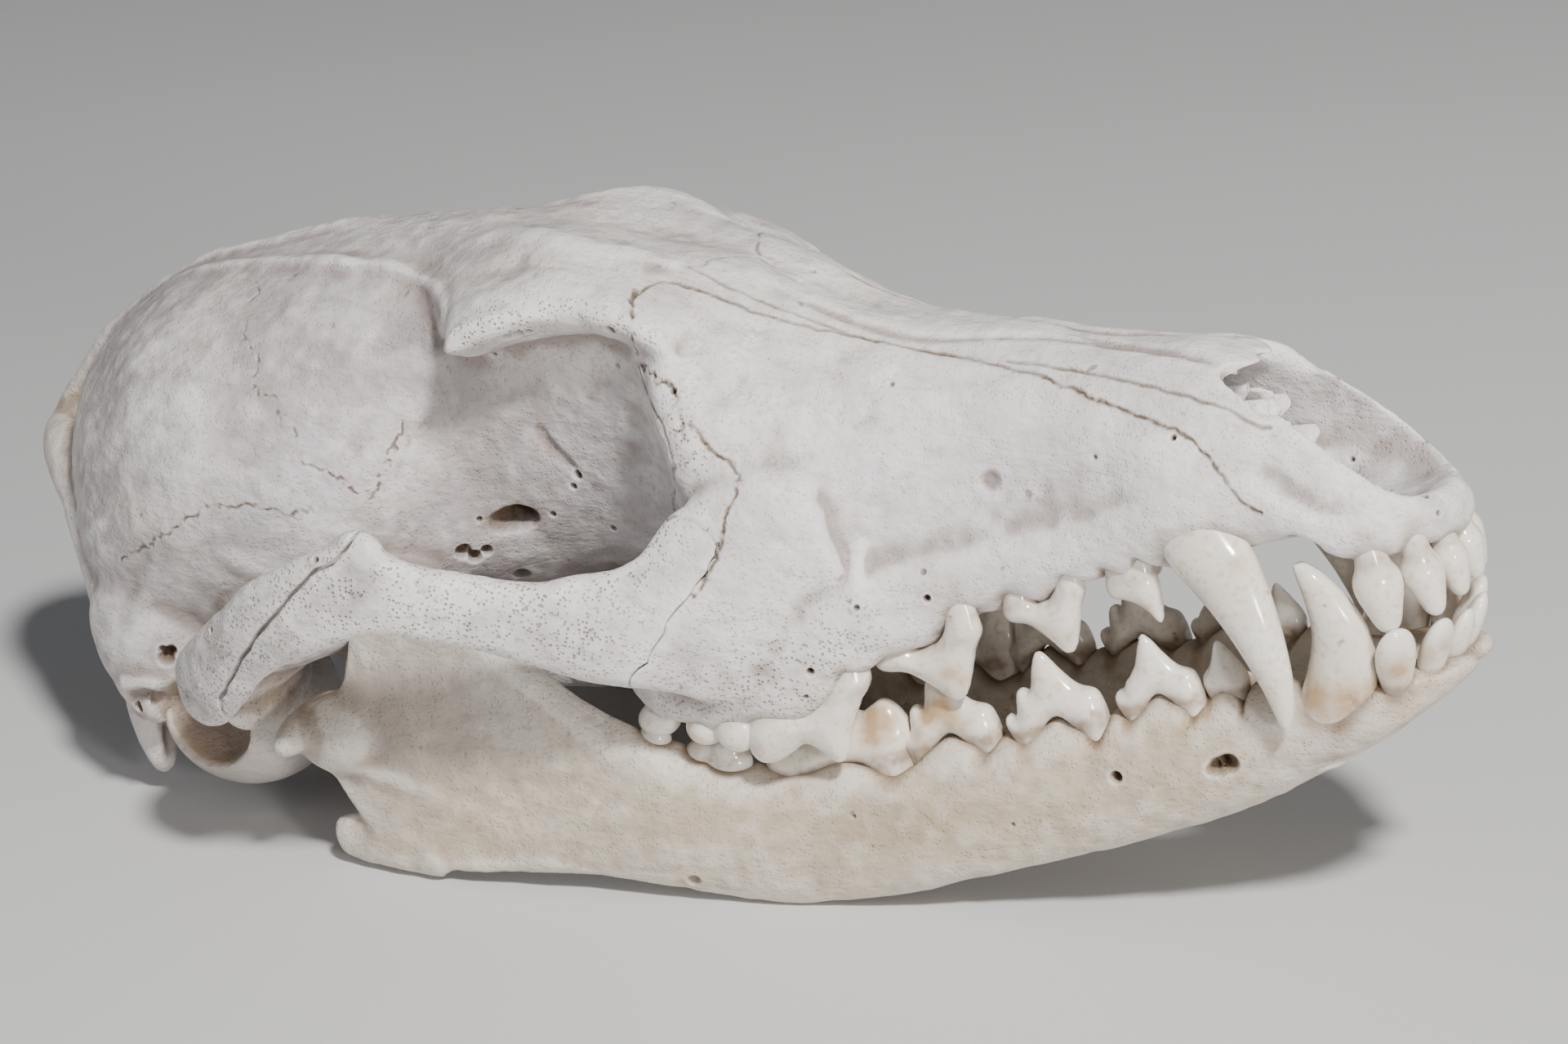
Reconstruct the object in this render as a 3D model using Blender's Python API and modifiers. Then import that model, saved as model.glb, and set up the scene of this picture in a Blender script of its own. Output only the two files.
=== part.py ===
import math

import bmesh
import bpy
from mathutils import Matrix, Vector

# A fox skull with its jaw closed, lying on the lower edges of the two jaw halves.
# It is laid out in millimetres in the skull's own frame: x runs forward to the nose,
# y to the animal's left and z up, with zero at the front of the upper tooth row.
# One empty then tips it nose up into its resting pose and scales it to metres.
MM = 0.001
REST_TILT = math.radians(14.7)

# Fineness of the solids
BONE_GRAIN = 0.9
JAW_GRAIN = 0.72
BONE_SMOOTH = 6
CRANIUM_FACES = 4000
MANDIBLE_FACES = 1050
SUTURE_GAP = 0.32
RING = 28
SPLINE_STEPS = 3
BALL_SIDES = 20
BALL_BANDS = 12
BAR_ROUNDNESS = 2.3
JAW_ROUND_TOP = 3.0
JAW_ROUND_BOTTOM = 2.5

# Long loft of the head from nose to occiput:
# x, half width, widest height, top, bottom, roundness above, roundness below
HEAD_ROWS = (
    (3.4, 2.2, 1.2, 2.6, -0.8, 2.0, 2.0),
    (1.2, 6.2, 1.8, 4.8, -1.3, 2.2, 3.0),
    (-2.8, 8.6, 3.0, 9.6, -0.9, 2.3, 3.4),
    (-8.4, 9.0, 4.6, 15.6, 1.6, 2.3, 4.0),
    (-14.0, 10.2, 5.0, 18.6, 1.8, 2.4, 5.0),
    (-22.0, 10.4, 4.6, 20.7, 1.5, 2.4, 5.0),
    (-30.0, 10.9, 4.4, 22.4, 0.8, 2.3, 5.0),
    (-38.0, 12.2, 5.0, 24.7, -0.2, 2.1, 5.0),
    (-45.0, 14.2, 8.0, 28.0, -1.4, 1.85, 5.0),
    (-51.0, 16.6, 13.0, 31.4, -2.6, 1.62, 5.0),
    (-57.0, 18.8, 19.0, 35.3, -3.0, 1.5, 5.0),
    (-61.0, 18.4, 23.0, 37.2, 0.0, 1.6, 3.0),
    (-64.0, 15.0, 25.0, 38.3, 1.5, 1.9, 2.6),
    (-67.0, 12.4, 26.0, 39.2, 3.0, 2.3, 2.4),
    (-72.0, 10.8, 28.0, 41.1, 5.0, 2.4, 2.2),
    (-80.0, 10.3, 27.0, 42.9, 6.0, 2.2, 2.0),
    (-88.0, 12.0, 26.0, 44.1, 6.5, 2.1, 2.0),
    (-95.0, 17.0, 25.0, 44.9, 7.0, 2.0, 2.2),
    (-103.0, 21.6, 24.0, 45.3, 7.0, 2.0, 2.4),
    (-112.0, 23.2, 24.0, 45.4, 7.0, 2.0, 2.5),
    (-121.0, 22.6, 22.0, 44.6, 7.0, 2.0, 2.5),
    (-128.5, 20.2, 20.0, 42.4, 7.0, 2.0, 2.5),
    (-134.0, 16.4, 18.0, 39.4, 8.0, 2.0, 2.4),
    (-138.4, 11.0, 19.0, 34.6, 10.0, 2.0, 2.2),
    (-141.0, 4.0, 22.0, 31.0, 14.0, 2.0, 2.0),
)

# Frontal shield over the orbits, with the postorbital processes at its widest row
SHIELD_ROWS = (
    (-60.0, 15.6, 30.0, 33.6, 25.0, 1.8, 2.0),
    (-64.0, 15.8, 33.4, 37.0, 28.0, 1.9, 2.0),
    (-69.0, 15.9, 35.2, 39.4, 31.0, 2.3, 2.0),
    (-73.0, 17.0, 35.6, 41.0, 32.0, 2.2, 2.0),
    (-77.0, 18.8, 35.4, 41.9, 32.4, 1.9, 2.0),
    (-80.3, 19.8, 34.6, 42.6, 32.4, 1.5, 2.0),
    (-83.0, 14.6, 36.0, 43.0, 31.0, 1.7, 2.0),
    (-90.0, 8.0, 37.0, 43.8, 30.0, 2.0, 2.0),
)

# Tooth-bearing part of the upper jaw, reaching back under the orbit
SHELF_ROWS = (
    (-38.0, 10.6, 2.0, 8.0, -0.2, 2.0, 5.0),
    (-43.0, 13.2, 2.0, 10.0, -1.2, 2.0, 5.0),
    (-48.0, 16.2, 1.8, 12.0, -2.4, 2.4, 5.0),
    (-53.0, 18.6, 1.4, 13.0, -3.8, 2.8, 5.0),
    (-58.0, 20.4, 1.0, 13.0, -4.6, 3.0, 5.0),
    (-63.0, 21.2, 0.6, 11.0, -4.8, 3.0, 5.0),
    (-69.0, 21.0, 0.5, 7.5, -4.0, 2.6, 5.0),
    (-73.0, 18.4, 0.5, 5.0, -2.4, 2.5, 3.0),
    (-78.5, 10.0, 2.0, 6.0, -0.8, 2.2, 2.4),
)

# Hollow under the palate, between the two tooth rows
PALATE_ROWS = (
    (-4.0, 2.0, -6.0, 0.4, -9.0, 2.4, 2.0),
    (-14.0, 5.5, -6.0, 3.0, -9.0, 2.6, 2.0),
    (-30.0, 7.0, -7.0, 3.0, -11.0, 2.6, 2.0),
    (-45.0, 9.6, -8.0, 2.4, -12.0, 2.6, 2.0),
    (-60.0, 14.0, -9.0, 1.6, -14.0, 3.2, 2.0),
    (-74.0, 12.0, -9.0, 1.8, -14.0, 2.6, 2.0),
    (-82.0, 8.0, -9.0, 2.4, -14.0, 2.6, 2.0),
)

# Hollow of the nose, behind its opening
NOSE_ROWS = (
    (3.4, 5.4, 6.0, 15.6, 3.4, 2.0, 2.6),
    (-1.0, 6.2, 7.0, 15.8, 2.6, 2.2, 2.8),
    (-6.0, 6.6, 8.0, 15.8, 2.8, 2.4, 2.8),
    (-14.0, 6.8, 9.0, 17.0, 3.4, 2.4, 2.6),
    (-24.0, 6.2, 10.0, 18.4, 4.0, 2.2, 2.4),
    (-38.0, 4.0, 11.0, 17.0, 6.0, 2.0, 2.0),
)

# Rim of the nose opening: x and z along its side, and the front edge of the nasals as y and x
NOSE_SIDE = ((6.0, 0.0), (1.2, 2.6), (-1.5, 4.4), (-4.2, 6.4), (-7.7, 10.2), (-10.5, 13.2))
NOSE_EDGE = ((0.0, -11.6), (1.2, -10.4), (2.6, -11.2), (3.6, -12.8), (4.4, -13.3), (5.4, -12.4),
             (6.2, -10.6), (7.0, -9.4), (8.0, -8.8), (12.0, -8.6))
NOSE_SKY = 26.0

# Cheek arch of the right side, from the upper jaw out and back to the braincase:
# x, y, z of its middle, full height, full thickness
ARCH_ROWS = (
    (-50.0, -14.5, 9.6, 15.0, 6.0),
    (-55.0, -17.6, 9.6, 18.0, 6.4),
    (-60.0, -20.6, 7.6, 18.4, 5.4),
    (-65.0, -23.6, 6.9, 13.0, 5.0),
    (-71.0, -28.2, 9.6, 9.4, 4.2),
    (-78.0, -32.8, 14.2, 7.8, 3.6),
    (-85.0, -36.0, 18.2, 8.8, 3.2),
    (-91.0, -37.2, 17.9, 8.8, 3.0),
    (-97.0, -36.9, 16.2, 9.0, 3.0),
    (-102.0, -35.8, 13.8, 9.4, 3.4),
    (-107.5, -34.0, 11.2, 9.6, 4.2),
    (-111.4, -29.8, 10.2, 8.0, 6.4),
    (-110.6, -23.4, 10.8, 8.6, 9.6),
    (-109.0, -16.0, 13.5, 11.0, 13.0),
)

# Rim of bone that holds the right upper teeth, from the middle of the nose back
SOCKET_ROWS = (
    (0.9, -0.6, 1.5, 5.2, 4.2),
    (0.3, -3.8, 1.5, 5.2, 4.4),
    (-2.4, -6.8, 1.6, 5.2, 4.6),
    (-5.4, -8.0, 2.4, 5.0, 4.4),
    (-8.2, -8.5, 4.6, 4.8, 3.8),
    (-11.2, -8.7, 6.2, 6.0, 3.8),
    (-14.5, -8.9, 6.6, 7.4, 4.6),
    (-19.0, -9.4, 6.0, 7.4, 5.0),
    (-25.0, -9.4, 5.0, 6.6, 4.2),
    (-32.0, -10.0, 5.0, 6.6, 4.0),
    (-37.0, -10.8, 4.6, 6.6, 4.2),
    (-42.0, -12.2, 4.0, 7.4, 4.6),
    (-46.5, -14.2, 3.2, 8.6, 5.2),
    (-51.0, -16.2, 2.2, 10.8, 5.8),
    (-56.0, -17.6, 1.6, 12.6, 6.2),
    (-61.0, -18.4, 1.5, 13.2, 6.2),
    (-66.5, -18.0, 1.5, 11.2, 6.0),
    (-72.0, -15.6, 1.5, 7.0, 4.6),
)

# Crest across the back of the skull, right side, from the middle down to the ear
NUCHAL_ROWS = (
    (-145.2, 0.0, 31.4, 5.0, 4.0),
    (-141.9, -5.0, 29.6, 7.0, 5.0),
    (-137.1, -9.5, 26.0, 9.0, 6.0),
    (-132.6, -14.5, 20.0, 9.0, 6.0),
    (-129.2, -18.0, 14.0, 9.0, 5.0),
    (-126.4, -20.2, 9.0, 8.0, 3.8),
)

# Crest along the middle of the back of the skull
INION_ROWS = (
    (-126.0, 0.01, 42.0, 4.0, 2.6),
    (-135.0, 0.0, 38.2, 6.0, 3.0),
    (-145.4, 0.01, 31.0, 7.0, 4.2),
)

# Right wing of bone behind the palate
PTERYGOID_ROWS = (
    (-78.0, -7.5, 1.5, 8.0, 3.4),
    (-86.0, -6.6, 1.5, 9.0, 2.8),
    (-94.0, -6.4, 2.0, 8.0, 2.4),
    (-98.0, -6.6, 5.0, 5.0, 2.2),
)

# Rounded lumps of the head's right side: name, centre, radii, turn in plan, tip in the side view
HEAD_LUMPS = (
    ("cheek_peak", (-84.4, -35.9, 21.2), (3.2, 1.7, 2.6), 0.0, 0.0),
    ("condyle", (-137.0, -7.0, 12.4), (5.6, 5.2, 5.4), 0.3, 0.0),
    ("mastoid", (-127.0, -19.5, 9.0), (4.6, 3.4, 6.0), 0.0, 0.0),
    ("mastoid_base", (-126.0, -16.6, 12.0), (8.0, 6.4, 9.0), 0.0, 0.0),
    ("paroccipital", (-131.8, -16.6, 4.6), (2.1, 2.6, 7.6), 0.0, 0.16),
    ("fang_root", (-18.6, -7.8, 7.4), (6.0, 3.4, 7.6), 0.0, -0.4),
    ("postglenoid", (-111.6, -22.0, 7.2), (2.2, 7.4, 4.6), 0.0, 0.0),
)

# Rounded hollows of the head's right side, in the same order
HEAD_HOLLOWS = (
    ("ear_hollow", (-120.8, -23.2, 3.4), (5.0, 5.6, 5.0), 0.0, 0.0),
    ("cheek_canal", (-46.0, -15.6, 6.4), (9.0, 1.5, 3.2), -0.16, 0.0),
    ("fang_gap", (-8.6, -11.0, 0.2), (2.6, 4.6, 3.0), 0.0, 0.0),
    ("palate_slit", (-9.0, -2.4, 1.5), (3.6, 0.9, 4.0), 0.0, 0.0),
)
SPINE_HOLE = ("foramen_magnum", (-141.0, 0.0, 17.0), (14.0, 6.2, 5.2), 0.0, 0.0)

# Lower jaw half of the right side: x, middle y, half width, top, bottom
JAW_ROWS = (
    (2.0, -2.0, 1.2, -11.8, -13.0),
    (-1.0, -3.2, 2.7, -11.6, -14.8),
    (-6.0, -4.2, 3.9, -11.4, -17.4),
    (-13.0, -5.0, 4.2, -10.8, -19.9),
    (-20.0, -6.2, 3.8, -10.1, -21.8),
    (-30.0, -8.2, 3.3, -10.6, -23.2),
    (-40.0, -10.3, 3.2, -11.0, -24.1),
    (-50.0, -12.4, 3.3, -11.3, -24.5),
    (-60.0, -14.6, 3.4, -10.8, -24.0),
    (-67.0, -16.7, 3.3, -8.6, -22.2),
    (-73.0, -18.7, 2.9, -4.0, -19.8),
    (-78.0, -20.3, 2.4, 1.0, -18.0),
    (-84.0, -21.8, 1.9, 9.2, -16.2),
    (-89.5, -23.0, 1.6, 17.0, -15.1),
    (-93.0, -23.8, 1.5, 19.4, -14.6),
    (-96.6, -24.3, 1.5, 14.6, -13.8),
    (-100.2, -24.6, 1.7, 6.8, -12.9),
    (-103.6, -24.6, 2.0, 4.0, -6.0),
)

# Hook at the right jaw's rear corner, and the lumps of its joint with the skull
ANGLE_ROWS = (
    (-96.0, -24.0, -10.6, 8.0, 3.0),
    (-102.0, -24.2, -9.4, 5.4, 3.0),
    (-107.0, -23.8, -8.6, 3.2, 2.4),
)
JAW_LUMPS = (
    ("jaw_condyle", (-105.2, -24.6, 2.9), (2.3, 7.4, 2.2), 0.12, 0.0),
    ("jaw_neck", (-101.8, -25.2, 1.8), (5.0, 3.4, 4.2), 0.0, 0.0),
)

# Right ear capsule under the braincase, and the opening of the ear in it
BULLA = ("bulla_right", (-120.4, -14.8, 3.0), (10.2, 8.2, 8.4), -0.25, 0.0)

# Sutures that part the bones: x and z along each
FACE_SUTURE = ((-74.0, 80.0), (-62.0, 38.0), (-58.0, 27.0), (-59.0, 19.0), (-66.0, 12.0),
               (-79.5, 7.4), (-80.5, -30.0))
CHEEK_FRONT = ((-57.2, 31.0), (-56.1, 24.6), (-53.6, 20.4), (-53.4, 18.0), (-55.1, 15.9), (-56.9, 12.8),
               (-59.2, 10.3), (-63.2, 6.8), (-67.0, 3.0), (-71.0, -1.0), (-78.0, -8.0))
CHEEK_REAR = ((-80.0, 30.0), (-83.7, 23.1), (-88.9, 20.4), (-95.0, 16.8), (-99.8, 13.9), (-103.2, 11.4),
              (-105.6, 8.6), (-106.6, 2.0))
CHEEK_INNER = 21.6
CHEEK_INNER_REAR = -76.0
REAR_INNER = 29.0
FAR_OUT = 60.0
FAR_AHEAD = 20.0
FAR_BEHIND = -130.0

# Side outlines of the flat teeth: along the tooth from rear -0.5 to front 0.5, and height
# from the bone at 0 to the tip at 1, with the root below
LOWER_CROWN = ((0.42, -0.45), (0.5, 0.0), (0.48, 0.28), (0.28, 0.49), (0.12, 0.8), (-0.01, 1.0),
               (-0.14, 0.72), (-0.25, 0.5), (-0.4, 0.34), (-0.5, 0.17), (-0.46, -0.1), (-0.4, -0.45))
UPPER_CROWN = ((0.42, -0.6), (0.5, -0.1), (0.42, 0.24), (0.27, 0.76), (0.14, 1.0), (0.0, 0.84),
               (-0.14, 0.55), (-0.3, 0.37), (-0.48, 0.24), (-0.48, -0.1), (-0.42, -0.6))
UPPER_BLADE = ((0.44, -0.4), (0.5, 0.0), (0.4, 0.3), (0.25, 0.68), (0.13, 1.0), (0.02, 0.82), (-0.11, 0.57),
               (-0.33, 0.66), (-0.5, 0.42), (-0.48, 0.0), (-0.42, -0.4))
LOWER_BLADE = ((0.44, -0.35), (0.51, 0.3), (0.42, 0.7), (0.3, 0.7), (0.21, 0.62), (0.08, 0.95), (-0.03, 0.94),
               (-0.15, 0.48), (-0.38, 0.43), (-0.5, 0.2), (-0.47, 0.0), (-0.4, -0.35))
OUTLINES = {"lower": LOWER_CROWN, "upper": UPPER_CROWN, "upper_blade": UPPER_BLADE, "lower_blade": LOWER_BLADE}

# Layers across a flat tooth: share of its half width, share of its outline
BLADE_LAYERS = ((-1.0, 0.6), (-0.6, 1.0), (0.6, 1.0), (1.0, 0.6))
BLADE_TAPER = 0.6

# Levels of the peg-like teeth: height, breadth along the row, depth across it
UPPER_INCISOR = ((-0.3, 0.66, 0.7), (0.0, 0.84, 0.86), (0.22, 1.0, 1.0), (0.5, 0.9, 0.88), (0.8, 0.56, 0.58),
                 (1.0, 0.24, 0.26))
LOWER_INCISOR = ((-0.35, 0.6, 0.7), (0.0, 0.7, 0.82), (0.3, 0.93, 0.96), (0.55, 1.0, 0.9), (0.82, 0.8, 0.6),
                 (1.0, 0.4, 0.3))
MOLAR_LEVELS = ((-0.7, 0.8, 0.8), (0.0, 0.95, 0.95), (0.35, 1.0, 1.0), (0.75, 0.9, 0.9), (1.0, 0.6, 0.6))
PEG_SIDES = 8

# Curve of each canine: x, y, z of its middle, breadth along the row, breadth across it
UPPER_CANINE = ((-17.6, -9.2, 6.5, 6.4, 4.2), (-16.1, -10.1, 2.8, 7.7, 4.9), (-14.7, -10.6, -0.2, 6.5, 4.6),
                (-13.6, -11.0, -3.4, 5.1, 4.0), (-12.9, -11.2, -6.6, 3.9, 3.3), (-12.6, -11.2, -9.6, 2.8, 2.5),
                (-12.7, -11.1, -12.0, 1.8, 1.7), (-13.0, -11.0, -13.5, 0.8, 0.8))
LOWER_CANINE = ((-10.8, -6.3, -15.4, 6.0, 4.0), (-9.4, -6.9, -12.4, 7.3, 4.8), (-7.9, -7.4, -9.2, 6.3, 4.4),
                (-7.2, -7.9, -6.0, 4.9, 3.8), (-7.5, -8.3, -3.2, 3.7, 3.0), (-8.3, -8.5, -0.8, 2.4, 2.1),
                (-9.0, -8.5, 0.4, 1.2, 1.1))
CANINE_SIDES = 10

# Right teeth: kind, x, y, z at the bone, length, width, height, turn in plan, forward lean
UPPER_TEETH = (
    ("incisor", 1.6, -1.9, -1.0, 3.3, 3.4, 5.4, 0.35, 0.5),
    ("incisor", 0.3, -5.2, -0.6, 3.7, 3.6, 6.1, 0.65, 0.9),
    ("incisor", -2.8, -7.5, -0.4, 4.4, 3.6, 6.7, 0.95, 0.2),
    ("upper", -24.6, -9.3, 1.4, 5.2, 2.8, 4.4, 0.0, 0.0),
    ("upper", -33.0, -9.9, 0.8, 8.4, 3.0, 5.5, 0.05, 0.0),
    ("upper", -43.9, -13.1, -1.0, 10.8, 3.4, 5.7, 0.16, 0.0),
    ("upper_blade", -55.2, -17.4, -3.2, 13.0, 4.4, 6.9, 0.26, 0.17),
    ("molar", -64.4, -17.6, -3.6, 7.6, 8.6, 3.0, 0.0, 0.0),
    ("molar", -71.0, -15.8, -2.2, 4.8, 6.4, 2.2, 0.0, 0.0),
)
LOWER_TEETH = (
    ("incisor", -1.2, -1.3, -12.6, 2.5, 2.6, 4.4, 0.2, 3.1),
    ("incisor", -2.2, -3.5, -12.6, 2.8, 2.9, 4.9, 0.45, 3.4),
    ("incisor", -4.4, -5.5, -12.6, 3.3, 3.0, 5.2, 0.8, 3.2),
    ("lower", -19.2, -7.2, -10.6, 4.3, 2.7, 4.7, 0.0, 0.0),
    ("lower", -25.2, -8.6, -10.6, 8.3, 3.0, 6.6, 0.1, 0.0),
    ("lower", -34.9, -10.2, -11.1, 9.7, 3.3, 7.3, 0.14, 0.0),
    ("lower", -45.5, -11.1, -11.2, 9.9, 3.4, 7.4, 0.16, 0.0),
    ("lower_blade", -56.4, -12.9, -11.4, 14.8, 4.2, 7.5, 0.16, 0.0),
    ("molar", -67.4, -15.9, -9.4, 5.6, 4.2, 2.6, 0.0, 0.0),
    ("molar", -72.6, -17.6, -6.2, 3.0, 2.8, 1.1, 0.0, 0.0),
)

def clear_scene():
    for thing in list(bpy.data.objects):
        bpy.data.objects.remove(thing, do_unlink=True)


def collection(name):
    folder = bpy.data.collections.new(name)
    bpy.context.scene.collection.children.link(folder)
    return folder


def material(name, color, roughness):
    look = bpy.data.materials.new(name)
    look.use_nodes = True
    shader = look.node_tree.nodes["Principled BSDF"]
    shader.inputs["Base Color"].default_value = (*color, 1.0)
    shader.inputs["Roughness"].default_value = roughness
    shader.inputs["Metallic"].default_value = 0.0
    return look


def smooth_rows(rows, steps):
    """Rows with extra ones between them, on a curve that passes through each."""
    out = []
    for i in range(len(rows) - 1):
        before = rows[max(i - 1, 0)]
        start = rows[i]
        end = rows[i + 1]
        after = rows[min(i + 2, len(rows) - 1)]
        for k in range(steps):
            t = k / steps
            out.append(tuple(
                0.5 * (2 * b + (c - a) * t + (2 * a - 5 * b + 4 * c - d) * t * t
                       + (3 * b - a - 3 * c + d) * t ** 3)
                for a, b, c, d in zip(before, start, end, after)))
    out.append(tuple(rows[-1]))
    return out


def power(value, exponent):
    return math.copysign(abs(value) ** exponent, value)


def section(half_width, middle, top, bottom, round_top, round_bottom, across=0.0):
    """One closed cross section as (y, z) pairs."""
    points = []
    for k in range(RING):
        turn = 2 * math.pi * k / RING
        side = math.cos(turn)
        rise = math.sin(turn)
        shape = 2 / max(round_top if rise >= 0 else round_bottom, 1.0)
        height = top - middle if rise >= 0 else middle - bottom
        points.append((across + half_width * power(side, shape), middle + height * power(rise, shape)))
    return points


def skin(name, rings, folder, pointed=True):
    """A closed body through rings of 3-D points; each end is drawn to a point or left flat."""
    mesh = bpy.data.meshes.new(name)
    body = bmesh.new()
    loops = [[body.verts.new(p) for p in ring] for ring in rings]
    count = len(loops[0])
    for first, second in zip(loops, loops[1:]):
        for k in range(count):
            n = (k + 1) % count
            body.faces.new((first[k], first[n], second[n], second[k]))
    for loop in (loops[0], loops[-1]):
        if pointed:
            tip = body.verts.new(sum((v.co for v in loop), Vector()) / count)
            for k in range(count):
                body.faces.new((loop[k], loop[(k + 1) % count], tip))
        else:
            body.faces.new(loop)
    bmesh.ops.recalc_face_normals(body, faces=body.faces)
    if body.calc_volume(signed=True) < 0:
        bmesh.ops.reverse_faces(body, faces=body.faces)
    body.to_mesh(mesh)
    body.free()
    thing = bpy.data.objects.new(name, mesh)
    folder.objects.link(thing)
    return thing


def loft(name, rows, folder):
    """A body with its sections across the skull's length, even on both sides."""
    rings = []
    for x, half_width, middle, top, bottom, above, below in smooth_rows(rows, SPLINE_STEPS):
        rings.append([(x, y, z) for y, z in section(half_width, middle, top, bottom, above, below)])
    return skin(name, rings, folder)


def sweep(name, rows, folder):
    """A flat-sided rod along a path; its sections stay upright."""
    rows = smooth_rows(rows, SPLINE_STEPS)
    rings = []
    for i, (x, y, z, height, thick) in enumerate(rows):
        back = rows[max(i - 1, 0)]
        ahead = rows[min(i + 1, len(rows) - 1)]
        along = Vector((ahead[0] - back[0], ahead[1] - back[1], 0)).normalized()
        side = Vector((-along.y, along.x, 0))
        ring = []
        for across, rise in section(thick / 2, 0, height / 2, -height / 2, BAR_ROUNDNESS, BAR_ROUNDNESS):
            ring.append(Vector((x, y, z + rise)) + side * across)
        rings.append(ring)
    return skin(name, rings, folder)


def ball(name, centre, radii, turn, tip, folder):
    mesh = bpy.data.meshes.new(name)
    body = bmesh.new()
    bmesh.ops.create_uvsphere(body, u_segments=BALL_SIDES, v_segments=BALL_BANDS, radius=1.0)
    place = Matrix.Translation(centre) @ Matrix.Rotation(turn, 4, "Z") @ Matrix.Rotation(tip, 4, "Y")
    bmesh.ops.transform(body, matrix=place @ Matrix.Diagonal((*radii, 1)), verts=body.verts)
    body.to_mesh(mesh)
    body.free()
    thing = bpy.data.objects.new(name, mesh)
    folder.objects.link(thing)
    return thing


def mirrored(thing, folder):
    """A copy on the other side of the skull's middle plane."""
    mesh = thing.data.copy()
    mesh.transform(Matrix.Scale(-1, 4, (0, 1, 0)))
    mesh.flip_normals()
    twin = bpy.data.objects.new(thing.name + "_left", mesh)
    folder.objects.link(twin)
    return twin


def with_twins(things, folder):
    return things + [mirrored(t, folder) for t in things]


def baked(thing):
    """Replaces an object's mesh by what its modifiers make of it."""
    bpy.context.view_layer.update()
    graph = bpy.context.evaluated_depsgraph_get()
    mesh = bpy.data.meshes.new_from_object(thing.evaluated_get(graph))
    thing.modifiers.clear()
    thing.data = mesh
    return thing


def joined(name, things, folder):
    mesh = bpy.data.meshes.new(name)
    body = bmesh.new()
    for thing in things:
        body.from_mesh(thing.data)
        bpy.data.objects.remove(thing, do_unlink=True)
    body.to_mesh(mesh)
    body.free()
    whole = bpy.data.objects.new(name, mesh)
    folder.objects.link(whole)
    return whole


def grown_together(thing, grain, smoothing):
    """Overlapping bodies become one skin, with their joints rounded."""
    remesh = thing.modifiers.new("grow", "REMESH")
    remesh.mode = "VOXEL"
    remesh.voxel_size = grain
    soften = thing.modifiers.new("soften", "SMOOTH")
    soften.factor = 0.5
    soften.iterations = smoothing
    return baked(thing)


def thinned(thing, faces):
    count = sum(len(p.vertices) - 2 for p in thing.data.polygons)
    fewer = thing.modifiers.new("fewer", "DECIMATE")
    fewer.ratio = min(1.0, faces / count)
    return baked(thing)


def cut(thing, cutter, operation="DIFFERENCE"):
    knife = thing.modifiers.new("cut", "BOOLEAN")
    knife.operation = operation
    knife.solver = "EXACT"
    knife.object = cutter
    return baked(thing)


def largest_body(thing):
    """Keeps the largest closed surface of a mesh and drops the scraps."""
    body = bmesh.new()
    body.from_mesh(thing.data)
    bmesh.ops.triangulate(body, faces=body.faces)
    shells = shells_of(body)
    shells.sort(key=shell_volume, reverse=True)
    scraps = [f for shell in shells[1:] for f in shell]
    bmesh.ops.delete(body, geom=scraps, context="FACES")
    body.to_mesh(thing.data)
    body.free()
    return thing


def shells_of(body):
    seen = set()
    shells = []
    for face in body.faces:
        if face in seen:
            continue
        shell = []
        front = [face]
        seen.add(face)
        while front:
            here = front.pop()
            shell.append(here)
            for edge in here.edges:
                for other in edge.link_faces:
                    if other not in seen:
                        seen.add(other)
                        front.append(other)
        shells.append(shell)
    return shells


def shell_volume(shell):
    total = 0.0
    for face in shell:
        a, b, c = (v.co for v in face.verts)
        total += a.dot(b.cross(c)) / 6
    return total


def cut_round(thing, neighbour, folder):
    """Cuts a piece back from its neighbour, with a suture's gap between them."""
    swollen = bpy.data.objects.new("swollen", neighbour.data.copy())
    folder.objects.link(swollen)
    swell = swollen.modifiers.new("swell", "DISPLACE")
    swell.strength = SUTURE_GAP
    swell.mid_level = 0.0
    thing = cut(thing, baked(swollen))
    bpy.data.objects.remove(swollen, do_unlink=True)
    return thing


def parted(thing, count, folder):
    """The largest separate bodies of a mesh as objects."""
    body = bmesh.new()
    body.from_mesh(thing.data)
    bmesh.ops.triangulate(body, faces=body.faces)
    pieces = []
    for shell in sorted(shells_of(body), key=shell_volume, reverse=True)[:count]:
        kept = set(f.index for f in shell)
        part = body.copy()
        part.faces.ensure_lookup_table()
        spare = [f for f in part.faces if f.index not in kept]
        bmesh.ops.delete(part, geom=spare, context="FACES")
        mesh = bpy.data.meshes.new(thing.name)
        part.to_mesh(mesh)
        part.free()
        piece = bpy.data.objects.new(thing.name, mesh)
        folder.objects.link(piece)
        pieces.append(piece)
    body.free()
    bpy.data.objects.remove(thing, do_unlink=True)
    return pieces


def middle_of(thing):
    return sum((v.co for v in thing.data.vertices), Vector()) / len(thing.data.vertices)


def sheet(name, path, reach, folder):
    """A wall one suture thick that follows a path of (x, z) points and reaches across y."""
    rings = []
    for i, (x, z) in enumerate(path):
        before = path[max(i - 1, 0)]
        after = path[min(i + 1, len(path) - 1)]
        along = Vector((after[0] - before[0], after[1] - before[1])).normalized() * SUTURE_GAP / 2
        rings.append([(x - along.y, reach[0], z + along.x), (x + along.y, reach[0], z - along.x),
                      (x + along.y, reach[1], z - along.x), (x - along.y, reach[1], z + along.x)])
    return skin(name, rings, folder, pointed=False)


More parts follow.
